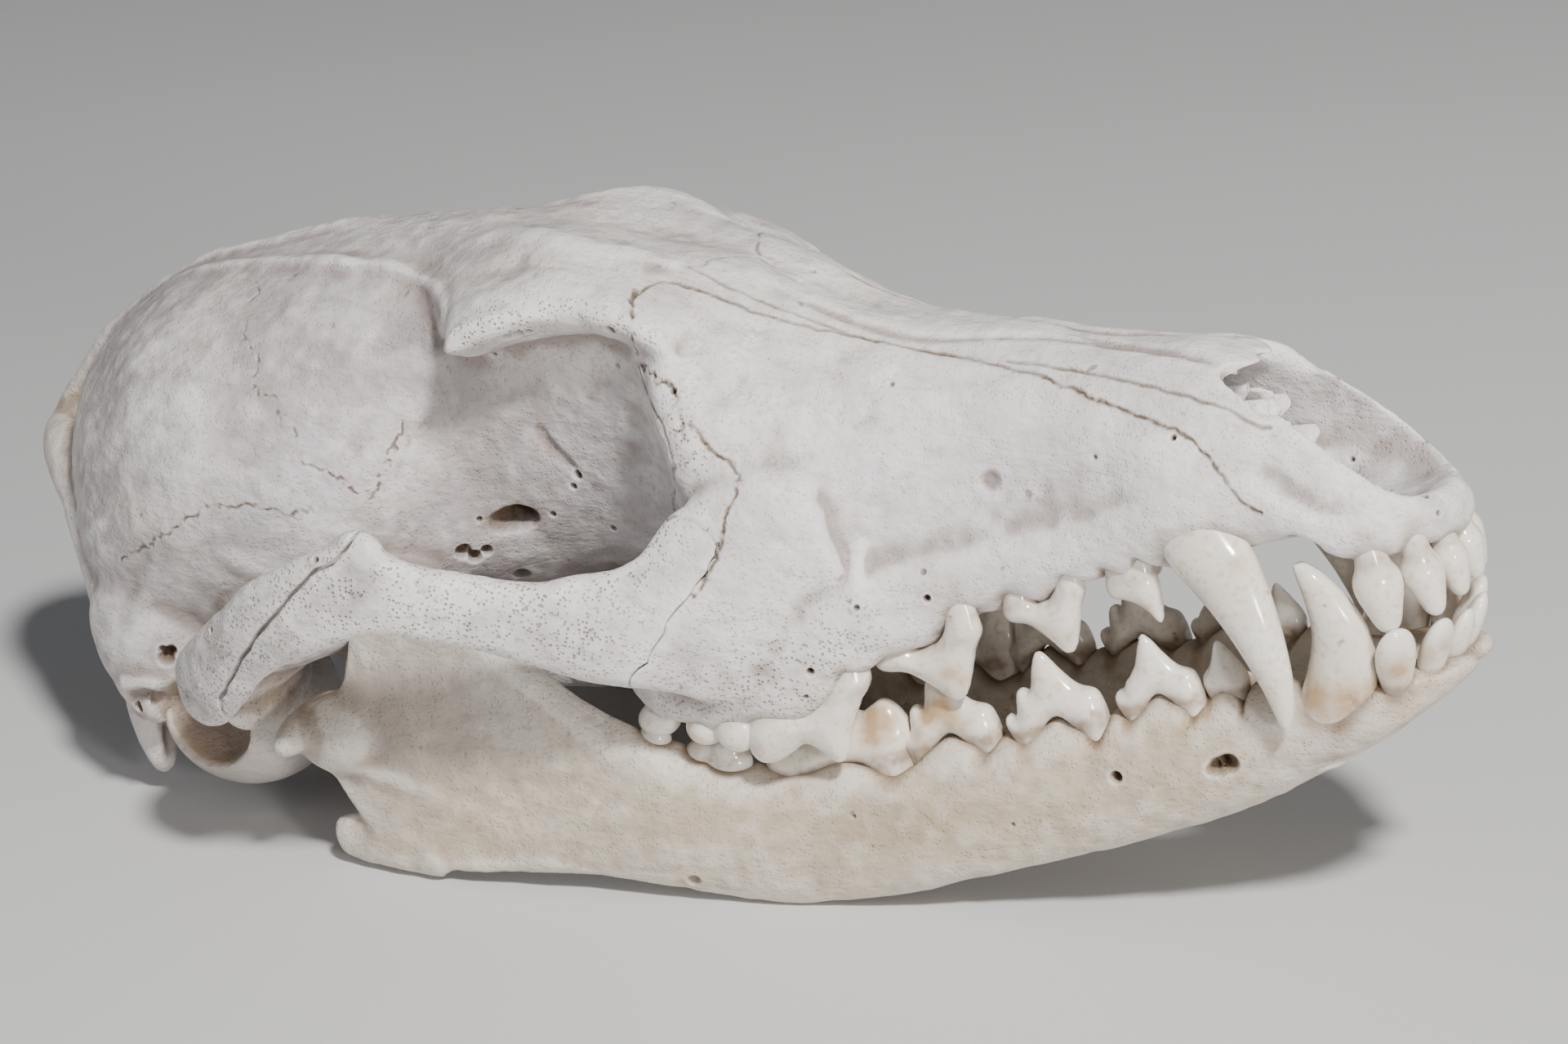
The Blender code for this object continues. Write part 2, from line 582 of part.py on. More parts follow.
def plate(name, path, rear, y, folder):
    """An upright wall one suture thick behind a path of (x, z) points, at one width y."""
    outline = [(x, z) for x, z in path if x > rear]
    outline += [(rear, outline[-1][1]), (rear, outline[0][1])]
    rings = [[(x, y + side * SUTURE_GAP / 2, z) for x, z in outline] for side in (-1, 1)]
    return skin(name, rings, folder, pointed=False)


def set_tooth(tooth, x, y, z, turn, lean, down):
    """Moves a tooth to its place in the row; upper teeth point down."""
    flip = Matrix.Scale(-1 if down else 1, 4, (0, 0, 1))
    shear = Matrix.Identity(4)
    shear[2][0] = lean
    tooth.data.transform(Matrix.Translation((x, y, z)) @ Matrix.Rotation(turn, 4, "Z") @ shear @ flip)
    if down:
        tooth.data.flip_normals()
    return tooth


def flat_tooth(kind, length, width, height, folder):
    """A crown with flat sides, thickest low down and keen at its crest."""
    outline = [(x * length, z * height) for x, z in OUTLINES[kind]]
    middle_x = sum(x for x, z in outline) / len(outline)
    middle_z = sum(z for x, z in outline) / len(outline)
    rings = []
    for across, share in BLADE_LAYERS:
        ring = []
        for x, z in outline:
            half = width / 2 * (1 - BLADE_TAPER * max(z, 0.0) / height)
            ring.append((middle_x + (x - middle_x) * share, across * half, middle_z + (z - middle_z) * share))
        rings.append(ring)
    return skin(kind, rings, folder, pointed=False)


def peg_tooth(kind, levels, length, width, height, lean, folder):
    """A crown made of rings from its root to its tip; lean moves the tip forward."""
    rings = []
    for level, broad, deep in levels:
        ring = []
        for k in range(PEG_SIDES):
            turn = 2 * math.pi * (k + 0.5) / PEG_SIDES
            ring.append((math.sin(turn) * width / 2 * deep + lean * level,
                         math.cos(turn) * length / 2 * broad, height * level))
        rings.append(ring)
    return skin(kind, rings, folder)


def canine(path, folder):
    """A long curved fang along the rows of its path."""
    rings = []
    for x, y, z, along, across in path:
        ring = []
        for k in range(CANINE_SIDES):
            turn = 2 * math.pi * k / CANINE_SIDES
            ring.append((x + math.cos(turn) * along / 2, y + math.sin(turn) * across / 2, z))
        rings.append(ring)
    return skin("canine", rings, folder)


def tooth_row(rows, fang, down, folder):
    """The teeth of one side of one jaw."""
    teeth = [canine(fang, folder)]
    for kind, x, y, z, length, width, height, turn, lean in rows:
        if kind == "incisor":
            levels = UPPER_INCISOR if down else LOWER_INCISOR
            tooth = peg_tooth(kind, levels, length, width, height, lean, folder)
            teeth.append(set_tooth(tooth, x, y, z, -turn, 0.0, down))
        elif kind == "molar":
            tooth = peg_tooth(kind, MOLAR_LEVELS, width, length, height, lean, folder)
            teeth.append(set_tooth(tooth, x, y, z, turn, 0.0, down))
        else:
            tooth = flat_tooth(kind, length, width, height, folder)
            teeth.append(set_tooth(tooth, x, y, z, turn, lean, down))
    return teeth


def cranium_mass(folder):
    """The head without its teeth, as overlapping rounded bodies."""
    middle = [loft("head", HEAD_ROWS, folder), loft("shield", SHIELD_ROWS, folder),
              loft("shelf", SHELF_ROWS, folder), sweep("inion", INION_ROWS, folder)]
    sides = [sweep("arch", ARCH_ROWS, folder), sweep("socket_rim", SOCKET_ROWS, folder),
             sweep("nuchal", NUCHAL_ROWS, folder), sweep("pterygoid", PTERYGOID_ROWS, folder)]
    sides += [ball(*lump, folder) for lump in HEAD_LUMPS]
    return middle + with_twins(sides, folder)


def nose_opening(folder):
    """Everything in front of the nasals and above the side rims of the nose."""
    widths = [-y for y, x in NOSE_EDGE[:0:-1]] + [y for y, x in NOSE_EDGE]
    rears = [x for y, x in NOSE_EDGE[:0:-1]] + [x for y, x in NOSE_EDGE]
    rings = []
    for y, rear in zip(widths, rears):
        ring = [(x, y, z) for x, z in NOSE_SIDE[:-1]]
        ring += [(min(rear, NOSE_SIDE[-1][0]), y, NOSE_SIDE[-1][1]), (rear, y, NOSE_SIDE[-1][1] + 1.0)]
        ring += [(rear, y, NOSE_SKY), (NOSE_SIDE[0][0], y, NOSE_SKY)]
        rings.append(ring)
    return skin("nose_opening", rings, folder, pointed=False)


def opening_cutters(folder):
    """Hollows that open to the outside."""
    middle = [nose_opening(folder), loft("nose_hollow", NOSE_ROWS, folder), ball(*SPINE_HOLE, folder),
              loft("palate_hollow", PALATE_ROWS, folder)]
    return middle + with_twins([ball(*hollow, folder) for hollow in HEAD_HOLLOWS], folder)


def suture_cutters(folder):
    """Sheets that part the face, the braincase and the two cheekbones."""
    made = [sheet("face_suture", FACE_SUTURE, (-CHEEK_INNER, CHEEK_INNER), folder)]
    for side in (-1, 1):
        made.append(sheet("cheek_front", CHEEK_FRONT, (side * CHEEK_INNER, side * FAR_OUT), folder))
        made.append(plate("cheek_inner", CHEEK_FRONT, CHEEK_INNER_REAR, side * CHEEK_INNER, folder))
        made.append(sheet("cheek_rear", CHEEK_REAR, (side * REAR_INNER, side * FAR_OUT), folder))
    return made


def jaw_mass(folder):
    """The right half of the lower jaw without its teeth."""
    rings = []
    for x, across, half_width, top, bottom in smooth_rows(JAW_ROWS, SPLINE_STEPS):
        middle = (top + bottom) / 2
        outline = section(half_width, middle, top, bottom, JAW_ROUND_TOP, JAW_ROUND_BOTTOM, across)
        rings.append([(x, y, z) for y, z in outline])
    return ([skin("jaw_body", rings, folder), sweep("jaw_angle", ANGLE_ROWS, folder)]
            + [ball(*lump, folder) for lump in JAW_LUMPS])


def far_half(folder):
    """Everything on the left of the middle plane, for the seam between the jaw halves."""
    corners = ((FAR_AHEAD, -FAR_OUT), (FAR_AHEAD, FAR_OUT), (FAR_BEHIND, FAR_OUT), (FAR_BEHIND, -FAR_OUT))
    rings = [[(x, y, z) for x, z in corners] for y in (-SUTURE_GAP / 2, FAR_OUT)]
    return skin("far_half", rings, folder, pointed=False)


def cut_away(thing, cutters):
    for cutter in cutters:
        thing = cut(thing, cutter)
        bpy.data.objects.remove(cutter, do_unlink=True)
    return thing


def grown_on(thing, pieces):
    for piece in pieces:
        thing = cut(thing, piece, "UNION")
        bpy.data.objects.remove(piece, do_unlink=True)
    return thing


def set_down(pose):
    """Puts the lowest point on the floor and the middle of the outline over the origin."""
    bpy.context.view_layer.update()
    points = [child.matrix_world @ v.co for child in pose.children for v in child.data.vertices]
    forward = [p.x for p in points]
    pose.location.x -= (min(forward) + max(forward)) / 2
    pose.location.z -= min(p.z for p in points)
    bpy.context.view_layer.update()


def build():
    clear_scene()
    parts = collection("fox_skull")
    work = collection("cutters")
    bone = material("bone", (0.72, 0.69, 0.66), 0.55)
    pose = bpy.data.objects.new("resting_pose", None)
    parts.objects.link(pose)
    pose.rotation_euler = (0.0, -REST_TILT, 0.0)
    pose.scale = (MM, MM, MM)

    cranium = grown_together(joined("cranium", cranium_mass(work), work), BONE_GRAIN, BONE_SMOOTH)
    cranium = thinned(cranium, CRANIUM_FACES)
    cranium = largest_body(cut_away(cranium, opening_cutters(work)))

    bulla = ball(*BULLA, work)
    bulla = largest_body(cut_away(bulla, [ball(*HEAD_HOLLOWS[0], work)]))
    bulla_twin = mirrored(bulla, work)
    cranium = cut_round(cut_round(cranium, bulla, work), bulla_twin, work)
    cranium = grown_on(cranium, with_twins(tooth_row(UPPER_TEETH, UPPER_CANINE, True, work), work))
    cranium = cut_away(cranium, suture_cutters(work))
    bones = parted(cranium, 4, work)
    bones.sort(key=lambda bone: middle_of(bone).y)
    cheek_right, cheek_left = bones[0], bones[-1]
    braincase, face = sorted(bones[1:-1], key=lambda bone: middle_of(bone).x)

    jaw = grown_together(joined("mandible_right", jaw_mass(work), work), JAW_GRAIN, BONE_SMOOTH)
    jaw = thinned(jaw, MANDIBLE_FACES)
    jaw = cut_away(jaw, [far_half(work)])
    jaw = largest_body(grown_on(jaw, tooth_row(LOWER_TEETH, LOWER_CANINE, False, work)))

    named = {
        "upper_jaw": face,
        "braincase": braincase,
        "cheekbone_right": cheek_right,
        "cheekbone_left": cheek_left,
        "ear_capsule_right": bulla,
        "ear_capsule_left": bulla_twin,
        "mandible_right": jaw,
        "mandible_left": mirrored(jaw, work),
    }
    for name, thing in named.items():
        work.objects.unlink(thing)
        parts.objects.link(thing)
        thing.name = name
        thing.data.materials.clear()
        thing.data.materials.append(bone)
        thing.parent = pose
    set_down(pose)


build()
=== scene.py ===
import math

import bmesh
import bpy
import numpy as np
from mathutils import Matrix, Vector
from mathutils.bvhtree import BVHTree


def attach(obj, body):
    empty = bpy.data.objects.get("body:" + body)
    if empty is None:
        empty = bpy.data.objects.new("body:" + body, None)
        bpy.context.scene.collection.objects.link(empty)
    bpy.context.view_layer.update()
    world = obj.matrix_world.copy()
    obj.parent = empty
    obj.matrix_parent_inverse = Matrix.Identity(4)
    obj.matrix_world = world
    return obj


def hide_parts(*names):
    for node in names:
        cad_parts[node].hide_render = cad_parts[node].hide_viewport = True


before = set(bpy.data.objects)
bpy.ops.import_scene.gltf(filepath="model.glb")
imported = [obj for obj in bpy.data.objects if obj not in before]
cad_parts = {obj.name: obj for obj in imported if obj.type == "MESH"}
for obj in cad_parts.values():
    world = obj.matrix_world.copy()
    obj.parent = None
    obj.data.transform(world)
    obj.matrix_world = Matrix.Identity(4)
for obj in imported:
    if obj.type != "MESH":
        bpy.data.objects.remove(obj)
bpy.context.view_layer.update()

# The bones are laid out in millimetres in the skull's own frame: x forward to the nose,
# y to the animal's left, z up, with zero at the front of the upper tooth row.
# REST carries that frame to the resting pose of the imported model.
MM = 0.001
REST_TILT = math.radians(14.7)
REST_PLACE = (0.0724711, 0.0, 0.0385711)
REST = (Matrix.Translation(REST_PLACE) @ Matrix.Rotation(-REST_TILT, 4, "Y") @ Matrix.Scale(MM, 4))

# The camera that sees the skull as the photograph does, in the skull's frame
PICTURE = (1920, 1278)
VIEW_AZIMUTH = math.radians(33.0)
VIEW_ELEVATION = math.radians(12.7)
VIEW_ROLL = math.radians(-17.0)
VIEW_DISTANCE = 350.0
VIEW_FOCUS = 4503.0
VIEW_TARGET = (-70.0, 0.0, 15.0)
VIEW_SHIFT = (7.4, -5.0)
SENSOR = 36.0

# Fineness of the bones and teeth
RING = 64
STEPS = 6
GRAIN = 0.42
FINE_GRAIN = 0.36
TOOTH_GRAIN = 0.2
BLADE_STEP = 0.16
SEED = 7


def camera_axes():
    back = Vector((math.sin(VIEW_AZIMUTH) * math.cos(VIEW_ELEVATION),
                   -math.cos(VIEW_AZIMUTH) * math.cos(VIEW_ELEVATION), math.sin(VIEW_ELEVATION)))
    level = Vector((math.cos(VIEW_AZIMUTH), math.sin(VIEW_AZIMUTH), 0))
    upright = back.cross(level)
    across = level * math.cos(VIEW_ROLL) + upright * math.sin(VIEW_ROLL)
    rise = upright * math.cos(VIEW_ROLL) - level * math.sin(VIEW_ROLL)
    eye = Vector(VIEW_TARGET) + across * VIEW_SHIFT[0] + rise * VIEW_SHIFT[1] + back * VIEW_DISTANCE
    return across, rise, back, eye


ACROSS, RISE, BACK, EYE = camera_axes()


def sight(pixel):
    """Direction from the camera through a pixel of the photograph, in the skull's frame."""
    right = pixel[0] - PICTURE[0] / 2
    down = pixel[1] - PICTURE[1] / 2
    return (ACROSS * right - RISE * down - BACK * VIEW_FOCUS).normalized()


# Long loft of the head from nose to occiput:
# x, half width, widest height, top, bottom, roundness above, roundness below
HEAD_ROWS = (
    (3.4, 2.2, 1.2, 2.6, -0.8, 2.0, 2.0),
    (1.2, 6.2, 1.8, 4.8, -1.3, 2.2, 3.0),
    (-2.8, 8.6, 3.0, 9.6, -0.9, 2.3, 3.4),
    (-8.4, 9.0, 4.6, 15.6, 1.6, 2.3, 4.0),
    (-14.0, 10.2, 5.0, 18.6, 1.8, 2.4, 5.0),
    (-22.0, 10.4, 4.6, 20.7, 1.5, 2.4, 5.0),
    (-30.0, 10.9, 4.4, 22.4, 0.8, 2.3, 5.0),
    (-38.0, 12.2, 5.0, 24.7, -0.2, 2.1, 5.0),
    (-45.0, 14.2, 8.0, 28.0, -1.4, 1.85, 5.0),
    (-51.0, 16.6, 13.0, 31.4, -2.6, 1.62, 5.0),
    (-57.0, 18.8, 19.0, 35.3, -3.0, 1.5, 5.0),
    (-61.0, 18.4, 23.0, 37.2, 0.0, 1.6, 3.0),
    (-64.0, 15.0, 25.0, 38.3, 1.5, 1.9, 2.6),
    (-67.0, 12.4, 26.0, 39.2, 3.0, 2.3, 2.4),
    (-72.0, 10.8, 28.0, 41.1, 5.0, 2.4, 2.2),
    (-80.0, 10.3, 27.0, 42.9, 6.0, 2.2, 2.0),
    (-88.0, 12.0, 26.0, 44.1, 6.5, 2.1, 2.0),
    (-95.0, 17.0, 25.0, 44.9, 7.0, 2.0, 2.2),
    (-103.0, 21.6, 24.0, 45.3, 7.0, 2.0, 2.4),
    (-112.0, 23.2, 24.0, 45.4, 7.0, 2.0, 2.5),
    (-121.0, 22.6, 22.0, 44.6, 7.0, 2.0, 2.5),
    (-128.5, 20.2, 20.0, 42.4, 7.0, 2.0, 2.5),
    (-134.0, 16.4, 18.0, 39.4, 8.0, 2.0, 2.4),
    (-138.4, 11.0, 19.0, 34.6, 10.0, 2.0, 2.2),
    (-141.0, 4.0, 22.0, 31.0, 14.0, 2.0, 2.0),
)

# Frontal shield over the orbits, with the postorbital processes at its widest row
SHIELD_ROWS = (
    (-60.0, 15.6, 30.0, 33.6, 25.0, 1.8, 2.0),
    (-64.0, 15.8, 33.4, 37.0, 28.0, 1.9, 2.0),
    (-69.0, 15.9, 35.2, 39.4, 31.0, 2.3, 2.0),
    (-73.0, 17.0, 35.6, 41.0, 32.0, 2.2, 2.0),
    (-77.0, 18.8, 35.4, 41.9, 32.4, 1.9, 2.0),
    (-80.3, 19.8, 34.6, 42.6, 32.4, 1.5, 2.0),
    (-83.0, 14.6, 36.0, 43.0, 31.0, 1.7, 2.0),
    (-90.0, 8.0, 37.0, 43.8, 30.0, 2.0, 2.0),
)

# Tooth-bearing part of the upper jaw, reaching back under the orbit
SHELF_ROWS = (
    (-38.0, 10.6, 2.0, 8.0, -0.2, 2.0, 5.0),
    (-43.0, 13.2, 2.0, 10.0, -1.2, 2.0, 5.0),
    (-48.0, 16.2, 1.8, 12.0, -2.4, 2.4, 5.0),
    (-53.0, 18.6, 1.4, 13.0, -3.8, 2.8, 5.0),
    (-58.0, 20.4, 1.0, 13.0, -4.6, 3.0, 5.0),
    (-63.0, 21.2, 0.6, 11.0, -4.8, 3.0, 5.0),
    (-69.0, 21.0, 0.5, 7.5, -4.0, 2.6, 5.0),
    (-73.0, 18.4, 0.5, 5.0, -2.4, 2.5, 3.0),
    (-78.5, 10.0, 2.0, 6.0, -0.8, 2.2, 2.4),
)

# Hollow under the palate, between the two tooth rows
PALATE_ROWS = (
    (-4.0, 2.0, -6.0, 0.4, -9.0, 2.4, 2.0),
    (-14.0, 5.5, -6.0, 3.0, -9.0, 2.6, 2.0),
    (-30.0, 7.0, -7.0, 3.0, -11.0, 2.6, 2.0),
    (-45.0, 9.6, -8.0, 2.4, -12.0, 2.6, 2.0),
    (-60.0, 14.0, -9.0, 1.6, -14.0, 3.2, 2.0),
    (-74.0, 12.0, -9.0, 1.8, -14.0, 2.6, 2.0),
    (-82.0, 8.0, -9.0, 2.4, -14.0, 2.6, 2.0),
)

# Right arch of the cheek, from the upper jaw out, back and in to the braincase:
# x, y, z of its middle, full height, full thickness
ARCH_ROWS = (
    (-50.0, -14.5, 9.6, 15.0, 6.0),
    (-55.0, -17.6, 9.6, 18.0, 6.4),
    (-60.0, -20.6, 7.6, 18.4, 5.4),
    (-65.0, -23.6, 6.9, 13.0, 5.0),
    (-71.0, -28.2, 9.6, 9.4, 4.2),
    (-78.0, -32.8, 14.2, 7.8, 3.6),
    (-85.0, -36.0, 18.2, 8.8, 3.2),
    (-91.0, -37.2, 17.9, 8.8, 3.0),
    (-97.0, -36.9, 16.2, 9.0, 3.0),
    (-102.0, -35.8, 13.8, 9.4, 3.4),
    (-107.5, -34.0, 11.2, 9.6, 4.2),
    (-111.4, -29.8, 10.2, 8.0, 6.4),
    (-110.6, -23.4, 10.8, 8.6, 9.6),
    (-109.0, -16.0, 13.5, 11.0, 13.0),
)

# Rim of bone that holds the right upper teeth, from the middle of the nose back
SOCKET_ROWS = (
    (0.9, -0.6, 1.5, 5.2, 4.2),
    (0.3, -3.8, 1.5, 5.2, 4.4),
    (-2.4, -6.8, 1.6, 5.2, 4.6),
    (-5.4, -8.0, 2.4, 5.0, 4.4),
    (-8.2, -8.5, 4.6, 4.8, 3.8),
    (-11.2, -8.7, 6.2, 6.0, 3.8),
    (-14.5, -8.9, 6.6, 7.4, 4.6),
    (-19.0, -9.4, 6.0, 7.4, 5.0),
    (-25.0, -9.4, 5.0, 6.6, 4.2),
    (-32.0, -10.0, 5.0, 6.6, 4.0),
    (-37.0, -10.8, 4.6, 6.6, 4.2),
    (-42.0, -12.2, 4.0, 7.4, 4.6),
    (-46.5, -14.2, 3.2, 8.6, 5.2),
    (-51.0, -16.2, 2.2, 10.8, 5.8),
    (-56.0, -17.6, 1.6, 12.6, 6.2),
    (-61.0, -18.4, 1.5, 13.2, 6.2),
    (-66.5, -18.0, 1.5, 11.2, 6.0),
    (-72.0, -15.6, 1.5, 7.0, 4.6),
)

# Lower jaw half of the right side: x, middle y, half width, top, bottom
JAW_ROWS = (
    (2.0, -2.0, 1.2, -11.8, -13.0),
    (-1.0, -3.2, 2.7, -11.6, -14.8),
    (-6.0, -4.2, 3.9, -11.4, -17.4),
    (-13.0, -5.0, 4.2, -10.8, -19.9),
    (-20.0, -6.2, 3.8, -10.1, -21.8),
    (-30.0, -8.2, 3.3, -10.6, -23.2),
    (-40.0, -10.3, 3.2, -11.0, -24.1),
    (-50.0, -12.4, 3.3, -11.3, -24.5),
    (-60.0, -14.6, 3.4, -10.8, -24.0),
    (-67.0, -16.7, 3.3, -8.6, -22.2),
    (-73.0, -18.7, 2.9, -4.0, -19.8),
    (-78.0, -20.3, 2.4, 1.0, -18.0),
    (-84.0, -21.8, 1.9, 9.2, -16.2),
    (-89.5, -23.0, 1.6, 17.0, -15.1),
    (-93.0, -23.8, 1.5, 19.4, -14.6),
    (-96.6, -24.3, 1.5, 14.6, -13.8),
    (-100.2, -24.6, 1.7, 6.8, -12.9),
    (-103.6, -24.6, 2.0, 4.0, -6.0),
)

# Right ear capsule under the braincase, and the opening of the ear in it
BULLA_CENTRE = (-120.4, -14.8, 3.0)
BULLA_SIZE = (10.2, 8.2, 8.4)
BULLA_TURN = -0.25
EAR_CENTRE = (-121.4, -23.0, 3.4)
EAR_SIZE = (6.2, 5.9, 4.9)


def smooth_rows(rows, steps=STEPS, closed=False):
    """Rows with extra ones between them, on a curve that passes through each."""
    out = []
    last = len(rows)
    for i in range(last if closed else last - 1):
        before, start, end, after = (
            rows[j % last] if closed else rows[min(max(j, 0), last - 1)] for j in range(i - 1, i + 3))
        for k in range(steps):
            t = k / steps
            out.append(tuple(
                0.5 * (2 * b + (c - a) * t + (2 * a - 5 * b + 4 * c - d) * t * t
                       + (3 * b - a - 3 * c + d) * t ** 3)
                for a, b, c, d in zip(before, start, end, after)))
    if not closed:
        out.append(tuple(rows[-1]))
    return out


def power(value, exponent):
    return math.copysign(abs(value) ** exponent, value)


def section(half_width, middle, top, bottom, round_top, round_bottom, across=0.0):
    """One closed cross section as (y, z) pairs."""
    points = []
    for k in range(RING):
        turn = 2 * math.pi * k / RING
        side = math.cos(turn)
        rise = math.sin(turn)
        shape = 2 / max(round_top if rise >= 0 else round_bottom, 1.0)
        height = top - middle if rise >= 0 else middle - bottom
        points.append((across + half_width * power(side, shape), middle + height * power(rise, shape)))
    return points


def new_object(name, mesh):
    thing = bpy.data.objects.new(name, mesh)
    bpy.context.scene.collection.objects.link(thing)
    return thing


def skin(name, rings):
    """A closed body through rings of 3-D points, with each end drawn to a point."""
    body = bmesh.new()
    loops = [[body.verts.new(p) for p in ring] for ring in rings]
    count = len(loops[0])
    for first, second in zip(loops, loops[1:]):
        for k in range(count):
            n = (k + 1) % count
            body.faces.new((first[k], first[n], second[n], second[k]))
    for loop in (loops[0], loops[-1]):
        tip = body.verts.new(sum((v.co for v in loop), Vector()) / count)
        for k in range(count):
            body.faces.new((loop[k], loop[(k + 1) % count], tip))
    bmesh.ops.recalc_face_normals(body, faces=body.faces)
    if body.calc_volume(signed=True) < 0:
        bmesh.ops.reverse_faces(body, faces=body.faces)
    mesh = bpy.data.meshes.new(name)
    body.to_mesh(mesh)
    body.free()
    return new_object(name, mesh)


def loft(name, rows):
    """A body with its sections across the skull's length, even on both sides."""
    rings = []
    for x, half_width, middle, top, bottom, above, below in smooth_rows(rows):
        rings.append([(x, y, z) for y, z in section(half_width, middle, top, bottom, above, below)])
    return skin(name, rings)


def sweep(name, rows, roundness=2.3):
    """A flat-sided rod along a path; its sections stay upright."""
    rows = smooth_rows(rows)
    rings = []
    for i, (x, y, z, height, thick) in enumerate(rows):
        back = rows[max(i - 1, 0)]
        ahead = rows[min(i + 1, len(rows) - 1)]
        along = Vector((ahead[0] - back[0], ahead[1] - back[1], 0)).normalized()
        side = Vector((-along.y, along.x, 0))
        ring = []
        for across, rise in section(thick / 2, 0, height / 2, -height / 2, roundness, roundness):
            ring.append(Vector((x, y, z + rise)) + side * across)
        rings.append(ring)
    return skin(name, rings)


def ball(name, centre, radii, turn=0.0, tip=0.0):
    body = bmesh.new()
    bmesh.ops.create_uvsphere(body, u_segments=40, v_segments=24, radius=1.0)
    place = (Matrix.Translation(centre) @ Matrix.Rotation(turn, 4, "Z") @ Matrix.Rotation(tip, 4, "Y")
             @ Matrix.Diagonal((*radii, 1)))
    bmesh.ops.transform(body, matrix=place, verts=body.verts)
    mesh = bpy.data.meshes.new(name)
    body.to_mesh(mesh)
    body.free()
    return new_object(name, mesh)


def mirrored(thing, name=None):
    """A copy on the other side of the skull's middle plane."""
    mesh = thing.data.copy()
    mesh.transform(Matrix.Scale(-1, 4, (0, 1, 0)))
    mesh.flip_normals()
    return new_object(name or thing.name + "_left", mesh)


def with_twins(things):
    return things + [mirrored(t) for t in things]


def baked(thing):
    """Replaces an object's mesh by what its modifiers make of it."""
    bpy.context.view_layer.update()
    graph = bpy.context.evaluated_depsgraph_get()
    mesh = bpy.data.meshes.new_from_object(thing.evaluated_get(graph))
    thing.modifiers.clear()
    thing.data = mesh
    return thing


def removed(thing):
    bpy.data.objects.remove(thing, do_unlink=True)


def joined(name, things):
    body = bmesh.new()
    for thing in things:
        body.from_mesh(thing.data)
        removed(thing)
    mesh = bpy.data.meshes.new(name)
    body.to_mesh(mesh)
    body.free()
    return new_object(name, mesh)


def grown_together(thing, grain, smoothing):
    """Overlapping bodies become one skin, with their joints rounded."""
    remesh = thing.modifiers.new("grow", "REMESH")
    remesh.mode = "VOXEL"
    remesh.voxel_size = grain
    soften = thing.modifiers.new("soften", "SMOOTH")
    soften.factor = 0.5
    soften.iterations = smoothing
    return baked(thing)


def cut(thing, cutter, operation="DIFFERENCE", keep=False):
    knife = thing.modifiers.new("cut", "BOOLEAN")
    knife.operation = operation
    knife.solver = "MANIFOLD"
    knife.object = cutter
    baked(thing)
    if not keep:
        removed(cutter)
    return thing


def shells_of(mesh):
    """The separate closed surfaces of a mesh, as a number for each face."""
    pairs = np.empty(len(mesh.edges) * 2, dtype=np.int64)
    mesh.edges.foreach_get("vertices", pairs)
    pairs = pairs.reshape(-1, 2)
    label = np.arange(len(mesh.vertices))
    while True:
        low = np.minimum(label[pairs[:, 0]], label[pairs[:, 1]])
        before = label.copy()
        np.minimum.at(label, pairs[:, 0], low)
        np.minimum.at(label, pairs[:, 1], low)
        label = label[label]
        if np.array_equal(before, label):
            break
    first = np.empty(len(mesh.polygons), dtype=np.int64)
    mesh.polygons.foreach_get("loop_start", first)
    corner = np.empty(len(mesh.loops), dtype=np.int64)
    mesh.loops.foreach_get("vertex_index", corner)
    return label[corner[first]]


def parted(thing, count):
    """The largest separate bodies of a mesh as objects, foremost first."""
    shell = shells_of(thing.data)
    names, sizes = np.unique(shell, return_counts=True)
    keep = names[np.argsort(-sizes)][:count]
    pieces = []
    for name in keep:
        body = bmesh.new()
        body.from_mesh(thing.data)
        body.faces.ensure_lookup_table()
        spare = [body.faces[i] for i in np.flatnonzero(shell != name)]
        bmesh.ops.delete(body, geom=spare, context="FACES")
        mesh = bpy.data.meshes.new(thing.name)
        body.to_mesh(mesh)
        body.free()
        pieces.append(new_object(thing.name, mesh))
    removed(thing)
    return pieces


def points_of(mesh):
    flat = np.empty(len(mesh.vertices) * 3)
    mesh.vertices.foreach_get("co", flat)
    return flat.reshape(-1, 3)


def normals_of(mesh):
    flat = np.empty(len(mesh.vertices) * 3)
    mesh.vertices.foreach_get("normal", flat)
    return flat.reshape(-1, 3)


def set_points(mesh, points):
    mesh.vertices.foreach_set("co", points.ravel())
    mesh.update()


def paint(mesh, name, values):
    layer = mesh.attributes.get(name) or mesh.attributes.new(name, "FLOAT", "POINT")
    layer.data.foreach_set("value", np.asarray(values, dtype=np.float32))


LATTICE = np.random.default_rng(SEED).uniform(-1, 1, (32, 32, 32, 3))


def clouds(points, size):
    """Smooth random vectors, each part between -1 and 1, that change over a length of size."""
    place = points / size
    cell = np.floor(place).astype(np.int64)
    t = place - cell
    t = t * t * (3 - 2 * t)
    total = np.zeros(points.shape)
    for corner in np.ndindex(2, 2, 2):
        weight = np.ones(len(points))
        index = []
        for axis, side in enumerate(corner):
            weight = weight * (t[:, axis] if side else 1 - t[:, axis])
            index.append((cell[:, axis] + side) % 32)
        total += weight[:, None] * LATTICE[index[0], index[1], index[2]]
    return total


def folded(points):
    """Both halves laid over the right one, the left one slightly out of true."""
    out = points.copy()
    left = points[:, 1] > 0
    out[left] += clouds(points[left], 9.0) * 0.5
    out[:, 1] = -np.abs(out[:, 1])
    return out


